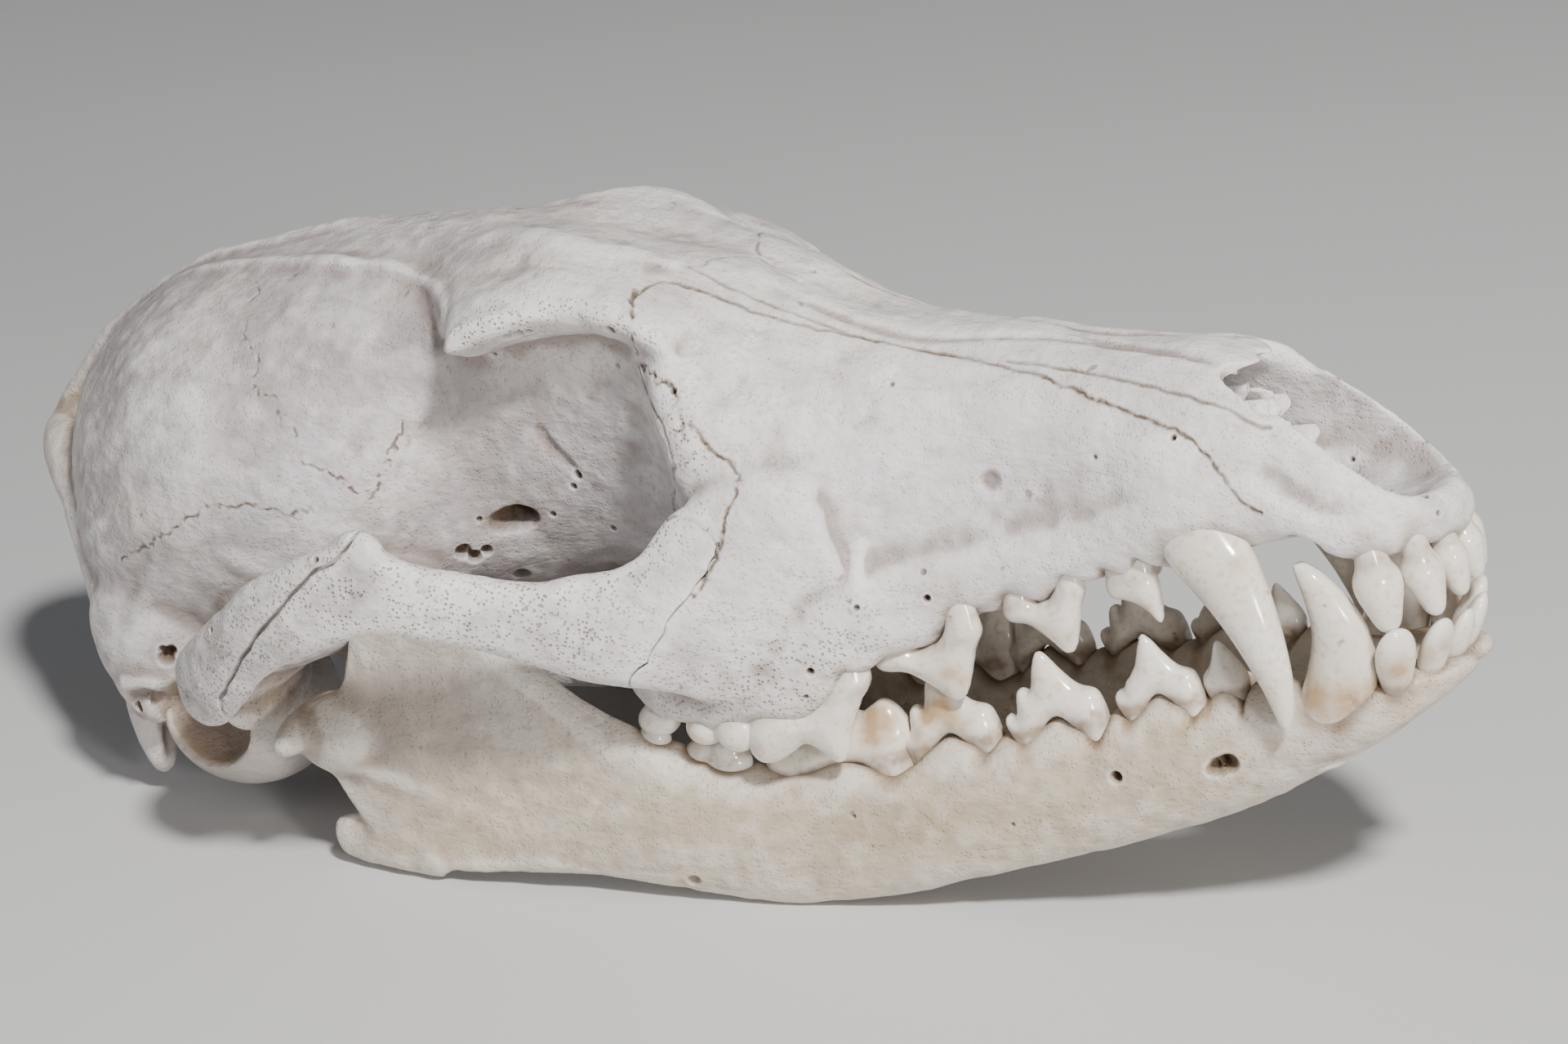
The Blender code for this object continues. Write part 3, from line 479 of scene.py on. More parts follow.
def from_path(points, path):
    """Distance of each point to a polyline, and how far along it that is, from 0 to 1."""
    best = np.full(len(points), 1e9)
    along = np.zeros(len(points))
    path = np.asarray(path, float)
    runs = np.linalg.norm(np.diff(path, axis=0), axis=1)
    done = 0.0
    for start, end, run in zip(path, path[1:], runs):
        step = end - start
        t = np.clip((points - start) @ step / max(run * run, 1e-9), 0, 1)
        away = np.linalg.norm(points - start - t[:, None] * step, axis=1)
        nearer = away < best
        best[nearer] = away[nearer]
        along[nearer] = (done + t[nearer] * run) / runs.sum()
        done += run
    return best, along


def bell(away, width):
    return np.exp(-(away / width) ** 2)


def push(mesh, path, width, height, taper=0.15, inside=None):
    """Raises a ridge along a path, or sinks a groove where height is negative."""
    points = points_of(mesh)
    away, along = from_path(folded(points), path)
    ends = np.clip(np.minimum(along, 1 - along) / taper, 0, 1) if taper else 1.0
    amount = bell(away, width) * height * ends
    set_points(mesh, points + normals_of(mesh) * amount[:, None])


def dent(mesh, centre, radii, depth):
    points = points_of(mesh)
    offset = (folded(points) - np.array(centre)) / np.array(radii)
    amount = np.exp(-(offset ** 2).sum(axis=1)) * depth
    set_points(mesh, points - normals_of(mesh) * amount[:, None])


def bvh_of(thing):
    return BVHTree.FromPolygons([v.co.copy() for v in thing.data.vertices],
                                [tuple(p.vertices) for p in thing.data.polygons])


def seen(tree, pixel):
    """The point of a bone that a pixel of the photograph shows, or None."""
    return tree.ray_cast(EYE, sight(pixel))[0]


def traced(tree, pixels, steps=4):
    """The path on a bone that pixels of the photograph mark, laid on the right half."""
    hits = [seen(tree, p) for p in smooth_rows(pixels, steps)]
    return [(h.x, -abs(h.y), h.z) for h in hits if h is not None]


# Sutures of the right side and the forehead, as pixels of the photograph:
# name, half width, depth, waviness in mm, darkness, pixels
SUTURES = (
    ("coronal", 0.13, 0.22, 0.7, 0.55, (
        (324, 347), (306, 371), (303, 402), (297, 411), (312, 433), (312, 469), (334, 488), (343, 506),
        (361, 531), (373, 567), (398, 574), (422, 592), (453, 604), (465, 598), (471, 567), (496, 521))),
    ("squamosal", 0.14, 0.2, 0.4, 0.5, (
        (147, 687), (202, 653), (245, 626), (288, 622), (306, 616), (343, 629), (380, 622))),
    ("jugal_front", 0.12, 0.22, 0.35, 0.9, (
        (845, 518), (876, 555), (900, 574), (903, 592), (891, 629), (882, 672), (866, 708), (848, 730))),
    ("fronto_maxillary", 0.16, 0.3, 0.55, 0.95, (
        (784, 356), (775, 384), (781, 439), (814, 469), (827, 494), (836, 530), (841, 580))),
    ("naso_maxillary", 0.1, 0.16, 0.15, 0.7, (
        (780, 361), (812, 345), (850, 353), (908, 375), (971, 396), (1035, 408), (1099, 423), (1188, 439),
        (1280, 461))),
    ("frontal_tongue", 0.1, 0.16, 0.15, 0.6, (
        (844, 326), (876, 343), (908, 358), (946, 375), (987, 389), (1041, 409))),
    ("fronto_nasal", 0.1, 0.16, 0.25, 0.6, (
        (857, 326), (879, 316), (930, 315), (994, 329))),
    ("naso_premaxillary", 0.12, 0.2, 0.12, 0.5, (
        (1232, 441), (1315, 453), (1407, 473), (1455, 486), (1498, 499), (1535, 520), (1556, 523))),
    ("premaxillary", 0.1, 0.18, 0.25, 0.75, (
        (1180, 437), (1241, 451), (1302, 473), (1358, 495), (1394, 509), (1443, 529), (1480, 560),
        (1517, 613), (1547, 630))),
    ("lacrimal", 0.1, 0.14, 0.2, 0.6, (
        (782, 450), (796, 490), (818, 540), (826, 600), (822, 640))),
)
MIDLINE_SUTURE = ((-36.0, 0.0, 24.0), (-45.0, 0.0, 28.0), (-56.0, 0.0, 34.8), (-66.0, 0.0, 39.0),
                  (-80.0, 0.0, 43.0), (-100.0, 0.0, 45.3))

# Paths that mark ridges and hollows of the bone, as pixels of the photograph
TEMPORAL_LINE = ((377, 325), (429, 319), (478, 325), (514, 341), (539, 359), (546, 384), (545, 433))
FRONTAL_CREST = ((560, 300), (633, 290), (683, 303), (721, 310), (778, 314), (836, 324))
NASAL_GROOVE = ((917, 342), (971, 361), (1051, 393), (1131, 412), (1241, 414), (1370, 417), (1520, 443))

# Right teeth: kind, x, y, z at the bone, length, width, height, turn in plan, forward lean
UPPER_TEETH = (
    ("incisor", 1.6, -1.9, -1.0, 3.3, 3.4, 5.4, 0.35, 0.5),
    ("incisor", 0.3, -5.2, -0.6, 3.7, 3.6, 6.1, 0.65, 0.9),
    ("incisor", -2.8, -7.5, -0.4, 4.4, 3.6, 6.7, 0.95, 0.2),
    ("upper_peg", -24.4, -9.3, 1.6, 5.0, 3.0, 4.8, 0.0, 0.0),
    ("upper", -33.0, -9.9, 0.8, 8.4, 3.0, 5.5, 0.05, 0.0),
    ("upper", -43.9, -13.1, -1.0, 10.8, 3.4, 5.7, 0.16, 0.0),
    ("upper_blade", -55.2, -17.4, -3.2, 13.0, 4.6, 6.9, 0.26, 0.17),
)
LOWER_TEETH = (
    ("incisor", -1.0, -1.4, -12.6, 2.8, 2.7, 4.9, 0.2, 3.3),
    ("incisor", -2.0, -3.9, -12.6, 3.2, 3.0, 5.4, 0.45, 3.5),
    ("incisor", -4.2, -6.2, -12.8, 3.8, 3.2, 6.2, 0.8, 3.2),
    ("lower_peg", -19.2, -7.2, -10.6, 4.3, 2.9, 4.7, 0.0, 0.0),
    ("lower", -25.2, -8.6, -10.6, 8.3, 3.0, 6.6, 0.1, 0.0),
    ("cusped", -34.9, -10.2, -11.1, 9.7, 3.3, 7.3, 0.14, 0.0),
    ("cusped", -45.5, -11.1, -11.2, 9.9, 3.6, 7.4, 0.16, 0.0),
    ("lower_blade", -56.4, -12.9, -11.4, 14.8, 4.4, 7.5, 0.16, 0.0),
)

# Shallow hollows of the head: centre, radii, depth
HEAD_DENTS = (
    ((-30.0, -10.6, 9.6), (7.0, 4.0, 3.4), 0.55),
    ((-44.2, -16.4, 7.0), (3.0, 4.0, 3.6), 0.5),
    ((-62.0, -24.0, 1.6), (7.0, 4.0, 3.4), 0.7),
    ((-97.0, -20.0, 33.0), (9.0, 6.0, 6.0), 0.7),
    ((-88.0, -12.0, 22.0), (6.0, 5.0, 7.0), 0.6),
    ((-125.0, -21.0, 30.0), (7.0, 5.0, 6.0), 0.5),
    ((-52.0, 0.0, 33.0), (11.0, 4.0, 5.0), 0.7),
    ((-71.0, -7.5, 41.0), (7.0, 3.6, 4.0), -0.7),
    ((-66.0, -16.0, 6.6), (5.0, 4.0, 3.0), 0.8),
)
HEAD_RIDGES = (
    (((-96.0, 0.0, 45.2), (-112.0, 0.0, 45.8), (-124.0, 0.0, 44.4), (-134.0, 0.0, 40.0)), 1.1, 0.7),
    (((-80.5, -18.6, 38.6), (-88.0, -13.0, 41.4), (-98.0, -8.0, 43.4), (-112.0, -5.0, 44.6),
      (-124.0, -2.0, 43.6)), 0.9, 0.5),
    (((-58.8, -19.0, 21.0), (-59.4, -18.6, 27.0), (-62.0, -17.0, 32.0), (-67.5, -16.6, 35.4),
      (-74.0, -17.6, 36.0), (-80.0, -19.4, 35.4)), 0.9, 0.55),
    (((-58.8, -20.4, 18.6), (-61.6, -21.6, 15.2), (-65.0, -24.0, 13.4), (-71.0, -28.2, 14.2)), 0.8, 0.4),
    (((-112.0, -23.0, 21.0), (-104.0, -22.6, 15.0), (-97.0, -22.0, 12.0)), 1.2, 0.6),
)
TRACED_RIDGES = (
    (((554, 445), (550, 420), (566, 402), (600, 392), (640, 388), (700, 385)), 0.5, 0.35),
    (((653, 520), (668, 545), (690, 566), (707, 580)), 0.45, -0.5),
    (((1052, 655), (1050, 690), (1048, 735)), 0.6, 0.4),
    (((998, 615), (1008, 650), (1022, 685), (1034, 712)), 1.6, 0.3),
    (((1300, 402), (1400, 424), (1500, 445)), 0.4, -0.3),
    (((206, 867), (206, 900), (210, 935)), 0.5, -0.6),
    (((150, 838), (176, 836), (200, 840)), 0.6, 0.7),
    (((152, 856), (176, 852), (200, 858)), 0.8, -0.8),
    (((175, 668), (160, 720), (150, 780)), 1.2, -0.25),
    (((480, 600), (500, 545), (530, 505)), 0.4, -0.2),
    (((640, 280), (668, 288), (684, 300)), 0.35, -0.3),
    (((760, 305), (800, 318), (838, 326)), 0.5, 0.3),
)

# Small holes for vessels: pixel, half width, depth
PITS = (
    ((992, 823), 0.32, 1.0), ((1135, 733), 0.3, 1.0), ((1436, 535), 0.26, 0.8), ((987, 854), 0.22, 0.6),
    ((1049, 744), 0.25, 0.6), ((634, 410), 0.5, 1.3), ((622, 413), 0.42, 1.1), ((646, 407), 0.36, 1.0),
    ((605, 434), 0.25, 0.7), ((747, 405), 0.4, 1.2), ((707, 582), 0.4, 1.2), ((702, 596), 0.3, 0.9),
    ((677, 630), 0.28, 0.7), ((587, 636), 0.26, 0.7), ((751, 647), 0.3, 0.8), ((824, 478), 0.28, 0.8),
    ((386, 685), 0.26, 0.7), ((258, 771), 0.26, 0.7), ((1212, 589), 0.9, 0.5),
    ((169, 866), 0.5, 1.0), ((203, 806), 0.7, 1.6), ((209, 797), 0.5, 1.3), ((199, 796), 0.4, 1.0),
    ((568, 676), 0.7, 1.6), ((582, 682), 0.6, 1.4), ((596, 674), 0.5, 1.2), ((640, 703), 0.7, 1.6),
    ((612, 641), 0.95, 1.7), ((624, 637), 1.15, 2.0), ((636, 635), 1.15, 2.0), ((647, 634), 0.9, 1.7),
    ((980, 345), 0.25, 0.5), ((1092, 470), 0.22, 0.4), ((1655, 560), 0.25, 0.5), ((1700, 600), 0.3, 0.5),
    ((1745, 606), 0.3, 0.6), ((1762, 628), 0.22, 0.5), ((1130, 700), 0.3, 0.3), ((1340, 560), 0.25, 0.3),
)
SOCKET_SPOTS = tuple((x + a * length, y, z) for kind, x, y, z, length, width, height, turn, lean
                     in LOWER_TEETH for a in (-0.4, 0.4))
OPTIC_HOLE = ((606, 640), (618, 636), (630, 633), (642, 631), (652, 632))

# The same for the lower jaw
JAW_DENTS = (
    ((-90.0, -26.0, 2.0), (9.0, 5.0, 9.0), 0.9),
    ((-84.0, -25.0, -6.0), (8.0, 4.0, 4.0), 0.5),
    ((-101.0, -26.0, -7.0), (4.0, 3.0, 3.0), 0.4),
)
JAW_RIDGES = (
    (((-74.0, -21.5, -6.0), (-80.0, -23.0, 2.0), (-86.0, -24.4, 10.0), (-91.0, -25.4, 18.0)), 1.2, 0.6),
    (((-82.0, -23.4, -15.0), (-90.0, -25.0, -14.0), (-98.0, -26.0, -12.6)), 1.4, 0.5),
    (((-103.0, -26.0, 0.0), (-96.0, -26.0, -4.0), (-88.0, -25.0, -9.0)), 1.0, 0.35),
)
JAW_PITS = (
    ((1504, 935), 0.85, 1.3), ((1492, 939), 0.8, 1.3), ((1484, 943), 0.5, 0.9), ((1366, 952), 0.5, 1.4), ((850, 1078), 0.6, 0.5),
    ((1240, 1010), 0.2, 0.3), ((1045, 1000), 0.2, 0.3),
)

# Sheets that part the bones: x and z along each, with a seam of the given width
FACE_SUTURE = ((-74.0, 80.0), (-62.0, 38.0), (-58.0, 27.0), (-59.0, 19.0), (-66.0, 12.0),
               (-79.5, 7.4), (-80.5, -30.0))
CHEEK_FRONT = ((-57.2, 31.0), (-56.1, 24.6), (-53.6, 20.4), (-53.4, 18.0), (-55.1, 15.9), (-56.9, 12.8),
               (-59.2, 10.3), (-63.2, 6.8), (-67.0, 3.0), (-71.0, -1.0), (-78.0, -8.0))
CHEEK_REAR = ((-80.0, 30.0), (-83.7, 23.1), (-88.9, 20.4), (-95.0, 16.8), (-99.8, 13.9), (-103.2, 11.4),
              (-105.6, 8.6), (-106.6, 2.0))


def sheet(name, path, thick, reach):
    """A thin wall that follows a path of (x, z) points and reaches across y."""
    rings = []
    for i, (x, z) in enumerate(path):
        before = path[max(i - 1, 0)]
        after = path[min(i + 1, len(path) - 1)]
        along = Vector((after[0] - before[0], after[1] - before[1])).normalized()
        nx, nz = -along.y * thick / 2, along.x * thick / 2
        rings.append([(x + nx, reach[0], z + nz), (x - nx, reach[0], z - nz),
                      (x - nx, reach[1], z - nz), (x + nx, reach[1], z + nz)])
    return skin(name, rings)


def plate(name, path, rear, low, high):
    """A thin upright wall behind a path of (x, z) points, between two widths y."""
    outline = [(x, z) for x, z in path if x > rear]
    outline += [(rear, outline[-1][1]), (rear, outline[0][1])]
    return skin(name, [[(x, y, z) for x, z in outline] for y in (low, high)])


def wavy(path, size, height):
    """A path with small waves, as the edge of an interlocking suture."""
    fine = np.array(smooth_rows(path, 8))
    drift = clouds(np.column_stack([fine[:, 0], np.full(len(fine), 3.0), fine[:, 1]]), size)
    return [tuple(p) for p in fine + drift[:, (0, 2)] * height]


def cranium_mass():
    """The head without its teeth, as overlapping rounded bodies."""
    middle = [loft("head", HEAD_ROWS), loft("shield", SHIELD_ROWS), loft("shelf", SHELF_ROWS)]
    sides = [
        sweep("arch", ARCH_ROWS),
        ball("cheek_peak", (-84.4, -35.9, 21.2), (3.2, 1.7, 2.6)),
        ball("condyle", (-137.0, -7.0, 12.4), (5.6, 5.2, 5.4), 0.3),
        ball("mastoid", (-127.0, -19.5, 9.0), (4.6, 3.4, 6.0)),
        ball("paroccipital", (-131.8, -16.6, 4.6), (2.1, 2.6, 7.6), 0.0, 0.16),
        sweep("nuchal", ((-145.2, 0.0, 31.4, 5.0, 4.0), (-141.9, -5.0, 29.6, 7.0, 5.0),
                         (-137.1, -9.5, 26.0, 9.0, 6.0), (-132.6, -14.5, 20.0, 9.0, 6.0),
                         (-129.2, -18.0, 14.0, 9.0, 5.0), (-126.4, -20.2, 9.0, 8.0, 3.8))),
        sweep("socket_rim", SOCKET_ROWS),
        ball("fang_root", (-18.6, -7.8, 7.4), (6.0, 3.4, 7.6), 0.0, -0.4),
        ball("mastoid_base", (-126.0, -16.6, 12.0), (8.0, 6.4, 9.0)),
        sweep("pterygoid", ((-78.0, -7.5, 1.5, 8.0, 3.4), (-86.0, -6.6, 1.5, 9.0, 2.8),
                            (-94.0, -6.4, 2.0, 8.0, 2.4), (-98.0, -6.6, 5.0, 5.0, 2.2))),
        ball("joint_roof", (-103.6, -22.0, 11.4), (8.4, 8.6, 3.0), 0.0, -0.12),
        ball("joint_front", (-97.0, -17.5, 9.0), (7.4, 5.6, 6.4)),
        ball("postglenoid", (-111.6, -22.0, 7.2), (2.2, 7.4, 4.6)),
    ]
    ridge = sweep("inion", ((-126.0, 0.01, 42.0, 4.0, 2.6), (-135.0, 0.0, 38.2, 6.0, 3.0),
                            (-145.4, 0.01, 31.0, 7.0, 4.2)))
    return middle + with_twins(sides) + [ridge]


# Rim of the nose opening: x and z along its side, and the front edge of the nasals as y and x
APERTURE_SIDE = ((-10.5, 13.2), (-7.7, 10.2), (-4.2, 6.4), (-1.5, 4.4), (1.2, 2.6), (6.0, 0.0))
NASAL_EDGE = ((0.0, -11.6), (1.2, -10.4), (2.6, -11.2), (3.6, -12.8), (4.4, -13.3), (5.4, -12.4),
              (6.2, -10.6), (7.0, -9.4), (8.0, -8.8), (12.0, -8.6))


def aperture_cutter():
    """Everything in front of the nasals and above the side rims of the nose."""
    edge_y, edge_x = np.array(NASAL_EDGE).T
    side_x, side_z = np.array(APERTURE_SIDE)[::-1].T
    rings = []
    for y in np.linspace(-12.0, 12.0, 97):
        rear = float(np.interp(abs(y), edge_y, edge_x))
        front = 6.0
        run = np.linspace(rear, front, 24)
        low = np.interp(run, side_x, side_z, left=13.2)
        ring = [(rear, y, 26.0)] + [(x, y, z) for x, z in zip(run, low)] + [(front, y, 26.0)]
        rings.append([Vector(p) for p in ring])
    return skin("aperture", rings)


def hollows():
    """Hollows that open to the outside."""
    nose = loft("nose_hollow", ((3.4, 5.4, 6.0, 15.6, 3.4, 2.0, 2.6), (-1.0, 6.2, 7.0, 15.8, 2.6, 2.2, 2.8),
                                (-6.0, 6.6, 8.0, 15.8, 2.8, 2.4, 2.8), (-14.0, 6.8, 9.0, 17.0, 3.4, 2.4, 2.6),
                                (-24.0, 6.2, 10.0, 18.4, 4.0, 2.2, 2.4), (-38.0, 4.0, 11.0, 17.0, 6.0, 2.0, 2.0)))
    spine = ball("foramen_magnum", (-141.0, 0.0, 17.0), (14.0, 6.2, 5.2))
    palate = loft("palate_hollow", PALATE_ROWS)
    sides = [
        ball("ear_hollow", EAR_CENTRE, EAR_SIZE),
        ball("fang_gap", (-8.6, -11.0, 0.4), (2.6, 4.6, 3.0)),
        ball("palate_slit", (-9.0, -2.4, 1.5), (3.6, 0.9, 4.0)),
    ]
    return [aperture_cutter(), nose, spine, palate] + with_twins(sides)


# Thin scrolls within the nose: y and z of each one's edge, how far forward it comes, how ragged it is
NOSE_SCROLLS = (
    (((0.2, 4.4), (0.25, 7.4), (0.2, 11.0), (0.25, 14.6)), -13.5, 0.8),
    (((2.2, 13.4), (3.0, 11.9), (2.0, 10.4), (1.1, 11.4), (1.8, 12.4)), -12.8, 1.4),
    (((5.0, 11.8), (3.7, 10.4), (3.9, 8.6), (2.5, 7.9), (1.5, 9.2)), -11.8, 1.5),
    (((5.2, 8.6), (4.0, 7.4), (3.2, 6.0), (1.8, 6.4), (1.3, 7.4)), -10.6, 1.5),
    (((4.6, 6.2), (3.6, 5.2), (2.4, 4.6), (1.2, 5.4)), -9.8, 1.2),
)


def nose_scrolls():
    """The thin, ragged plates of bone that fill the rear of the nose."""
    made = []
    for path, front, ragged in NOSE_SCROLLS:
        edge = smooth_rows(path, 10)
        reach = np.array([(front, y * 2, z * 2) for y, z in edge])
        forward = front + clouds(reach, 2.0)[:, 0] * ragged
        points = []
        for (y, z), x_front in zip(edge, forward):
            for k in range(13):
                points.append((x_front - 16.0 * k / 12, y, z + 0.12 * k))
        faces = []
        for i in range(len(edge) - 1):
            for k in range(12):
                a = i * 13 + k
                faces.append((a, a + 1, a + 14, a + 13))
        mesh = bpy.data.meshes.new("nose_scroll")
        mesh.from_pydata(points, [], faces)
        thing = new_object("nose_scroll", mesh)
        thick = thing.modifiers.new("thick", "SOLIDIFY")
        thick.thickness = 0.3
        thick.offset = 0
        made.append(baked(thing))
    return joined("nose_scrolls", with_twins(made))


def jaw_mass():
    """The right half of the lower jaw without its teeth."""
    rings = []
    for x, across, half_width, top, bottom in smooth_rows(JAW_ROWS):
        middle = (top + bottom) / 2
        rings.append([(x, y, z) for y, z in section(half_width, middle, top, bottom, 3.0, 2.4, across)])
    return [
        skin("jaw_body", rings),
        ball("jaw_condyle", (-105.2, -24.6, 2.9), (2.3, 7.4, 2.2), 0.12),
        ball("jaw_neck", (-101.8, -25.2, 1.8), (5.0, 3.4, 4.2)),
        sweep("jaw_angle", ((-96.0, -24.0, -10.8, 8.4, 3.2), (-101.0, -24.2, -10.0, 6.6, 3.2),
                            (-104.6, -23.9, -9.4, 5.6, 3.0), (-107.2, -23.7, -9.0, 3.6, 2.2))),
    ]


def noise_skin(mesh, size, height):
    points = points_of(mesh)
    amount = clouds(points, size)[:, 0] * height
    set_points(mesh, points + normals_of(mesh) * amount[:, None])


def found_pits(tree, marks):
    """The spots of a bone at which the photograph shows small holes."""
    hits = [(seen(tree, pixel), width, depth) for pixel, width, depth in marks]
    return [(tuple(hit), width, depth) for hit, width, depth in hits if hit is not None]


def refined_near(mesh, away, reach):
    """Splits the faces that lie near a seam, so that a fine line can be cut in them."""
    body = bmesh.new()
    body.from_mesh(mesh)
    body.verts.ensure_lookup_table()
    near = set(np.flatnonzero(away < reach).tolist())
    faces = set()
    for index in near:
        faces.update(body.verts[index].link_faces)
    edges = set()
    for face in faces:
        edges.update(face.edges)
    bmesh.ops.subdivide_edges(body, edges=list(edges), cuts=1, use_grid_fill=True)
    body.to_mesh(mesh)
    body.free()


def seam_distance(points, seams):
    """For each seam the distance to its wavy line, and the nearest of these, in mm."""
    laid = folded(points)
    small = clouds(points, 1.1)
    tiny = clouds(points, 0.45)
    nearest = np.full(len(points), 1e9)
    rows = []
    for name, width, depth, wave, dark, path in seams:
        away, along = from_path(laid + small * wave + tiny * wave * 0.4, path)
        nearest = np.minimum(nearest, away)
        rows.append(away)
    return nearest, rows


def pit_offset(laid, spot):
    return laid - np.array((spot[0], -abs(spot[1]), spot[2]))


def carve(mesh, seams, pits):
    """Cuts the sutures and the small holes into a bone and paints them dark: the sutures in their own dark colour,
    the holes with painted shade over their own brown.
    """
    for reach in (0.8, 0.42):
        laid = folded(points_of(mesh))
        nearest = np.full(len(laid), 1e9)
        if seams:
            nearest, rows = seam_distance(points_of(mesh), seams)
        for spot, width, depth in pits:
            nearest = np.minimum(nearest, np.linalg.norm(pit_offset(laid, spot), axis=1) - width)
        refined_near(mesh, nearest, reach)
    points = points_of(mesh)
    normals = normals_of(mesh)
    depth = np.zeros(len(points))
    dark = np.zeros(len(points))
    if seams:
        nearest, rows = seam_distance(points, seams)
        fade = 0.65 + 0.5 * clouds(points, 3.0)[:, 1]
        for (name, width, deep, wave, shade, path), away in zip(seams, rows):
            broad = max(width, 0.13) * 1.3
            line = bell(away, broad) * np.clip(fade + 0.25, 0.6, 1)
            depth = np.maximum(depth, line * deep * 1.2)
            dark = np.maximum(dark, bell(away, broad * 1.25) * min(1.0, shade * 1.35) * np.clip(fade + 0.3, 0.55, 1))
    moved = points - normals * depth[:, None]
    laid = folded(points)
    side = np.where(points[:, 1] > 0, -1.0, 1.0)
    for spot, width, deep in pits:
        offset = pit_offset(laid, spot)
        near = np.flatnonzero(np.linalg.norm(offset, axis=1) < width * 2.5 + 0.5)
        if not len(near):
            continue
        facing = normals[near] * np.stack([np.ones(len(near)), side[near], np.ones(len(near))], axis=1)
        into = facing.mean(axis=0)
        into /= max(np.linalg.norm(into), 1e-9)
        flat = np.linalg.norm(offset[near] - np.outer(offset[near] @ into, into), axis=1)
        amount = np.exp(-(flat / width) ** 4)
        drop = np.outer(deep * amount, into)
        drop[:, 1] *= side[near]
        moved[near] -= drop
        # Painted shade: each small hole darkened inside, over its own brown.
        dark[near] = np.maximum(dark[near], amount * min(1.0, 0.35 + deep * 0.6))
    set_points(mesh, moved)
    paint(mesh, "seam", dark)


def hollowness(mesh, rounds):
    """How far each point lies below the mean of its surroundings, in mm."""
    points = points_of(mesh)
    pairs = np.empty(len(mesh.edges) * 2, dtype=np.int64)
    mesh.edges.foreach_get("vertices", pairs)
    first, second = pairs.reshape(-1, 2).T
    count = np.bincount(first, minlength=len(points)) + np.bincount(second, minlength=len(points))
    count = np.maximum(count, 1)
    soft = points.copy()
    for turn in range(rounds):
        near = np.stack([np.bincount(first, soft[second, k], len(points))
                         + np.bincount(second, soft[first, k], len(points)) for k in range(3)], axis=1)
        soft = 0.4 * soft + 0.6 * near / count[:, None]
    return ((soft - points) * normals_of(mesh)).sum(axis=1)


# Side outlines of the blade-like teeth, roots included: along the tooth from rear -0.5 to
# front 0.5, and height from the bone at 0 to the tip at 1
LOWER_OUTLINE = (
    (0.28, -0.7), (0.45, -0.7), (0.50, -0.08), (0.49, 0.16), (0.46, 0.34), (0.40, 0.42), (0.28, 0.49),
    (0.16, 0.70), (0.06, 0.93), (-0.01, 1.0), (-0.06, 0.94), (-0.12, 0.78), (-0.18, 0.60),
    (-0.24, 0.50), (-0.33, 0.38), (-0.38, 0.28), (-0.45, 0.27), (-0.5, 0.17), (-0.48, 0.0),
    (-0.42, -0.26), (-0.40, -0.7), (-0.24, -0.7), (-0.18, -0.1), (-0.06, 0.10), (0.04, 0.12), (0.14, -0.04),
    (0.22, -0.2))
CUSPED_OUTLINE = (
    (0.28, -0.7), (0.45, -0.7), (0.50, -0.08), (0.49, 0.16), (0.46, 0.34), (0.40, 0.42), (0.28, 0.49),
    (0.16, 0.70), (0.06, 0.93), (-0.01, 1.0), (-0.06, 0.95), (-0.12, 0.78), (-0.165, 0.58), (-0.20, 0.52),
    (-0.26, 0.575), (-0.32, 0.52), (-0.345, 0.40), (-0.37, 0.25), (-0.41, 0.24), (-0.46, 0.27),
    (-0.5, 0.17), (-0.48, 0.0), (-0.42, -0.26), (-0.40, -0.7), (-0.24, -0.7), (-0.18, -0.1), (-0.06, 0.10),
    (0.04, 0.12), (0.14, -0.04), (0.22, -0.2))
UPPER_OUTLINE = (
    (0.26, -1.0), (0.44, -1.0), (0.5, -0.2), (0.48, 0.02), (0.40, 0.22), (0.33, 0.52), (0.24, 0.86),
    (0.17, 0.98), (0.10, 1.0), (0.04, 0.92), (-0.03, 0.76), (-0.14, 0.55), (-0.25, 0.39), (-0.4, 0.33),
    (-0.48, 0.24), (-0.5, 0.08), (-0.46, -0.15), (-0.44, -1.0), (-0.2, -1.0), (-0.14, -0.04), (0.0, 0.03),
    (0.1, -0.04), (0.2, -0.3))
UPPER_BLADE = (
    (0.30, -0.8), (0.46, -0.8), (0.50, -0.08), (0.48, 0.14), (0.38, 0.32), (0.27, 0.6), (0.19, 0.9),
    (0.13, 1.0), (0.07, 0.97), (0.01, 0.8), (-0.05, 0.64), (-0.11, 0.57), (-0.2, 0.62), (-0.33, 0.66),
    (-0.44, 0.6), (-0.5, 0.42), (-0.5, 0.15), (-0.46, -0.1), (-0.42, -0.8), (-0.15, -0.8), (-0.06, -0.02),
    (0.06, 0.02), (0.16, -0.08), (0.24, -0.3))
LOWER_BLADE = (
    (0.28, -0.5), (0.44, -0.5), (0.5, 0.06), (0.51, 0.36), (0.47, 0.58), (0.42, 0.7), (0.36, 0.74),
    (0.29, 0.68), (0.22, 0.62), (0.16, 0.72), (0.08, 0.95), (0.02, 1.0), (-0.05, 0.9), (-0.1, 0.66),
    (-0.16, 0.47), (-0.26, 0.42), (-0.38, 0.43), (-0.46, 0.36), (-0.5, 0.2), (-0.47, -0.02), (-0.4, -0.5),
    (-0.16, -0.5), (-0.08, -0.08), (0.04, 0.0), (0.16, -0.08))
LOWER_PEG = (
    (0.34, -0.7), (0.46, -0.1), (0.5, 0.14), (0.46, 0.36), (0.3, 0.64), (0.12, 0.93), (0.02, 1.0), (-0.08, 0.93),
    (-0.2, 0.66), (-0.3, 0.5), (-0.44, 0.4), (-0.5, 0.2), (-0.46, -0.1), (-0.34, -0.7))
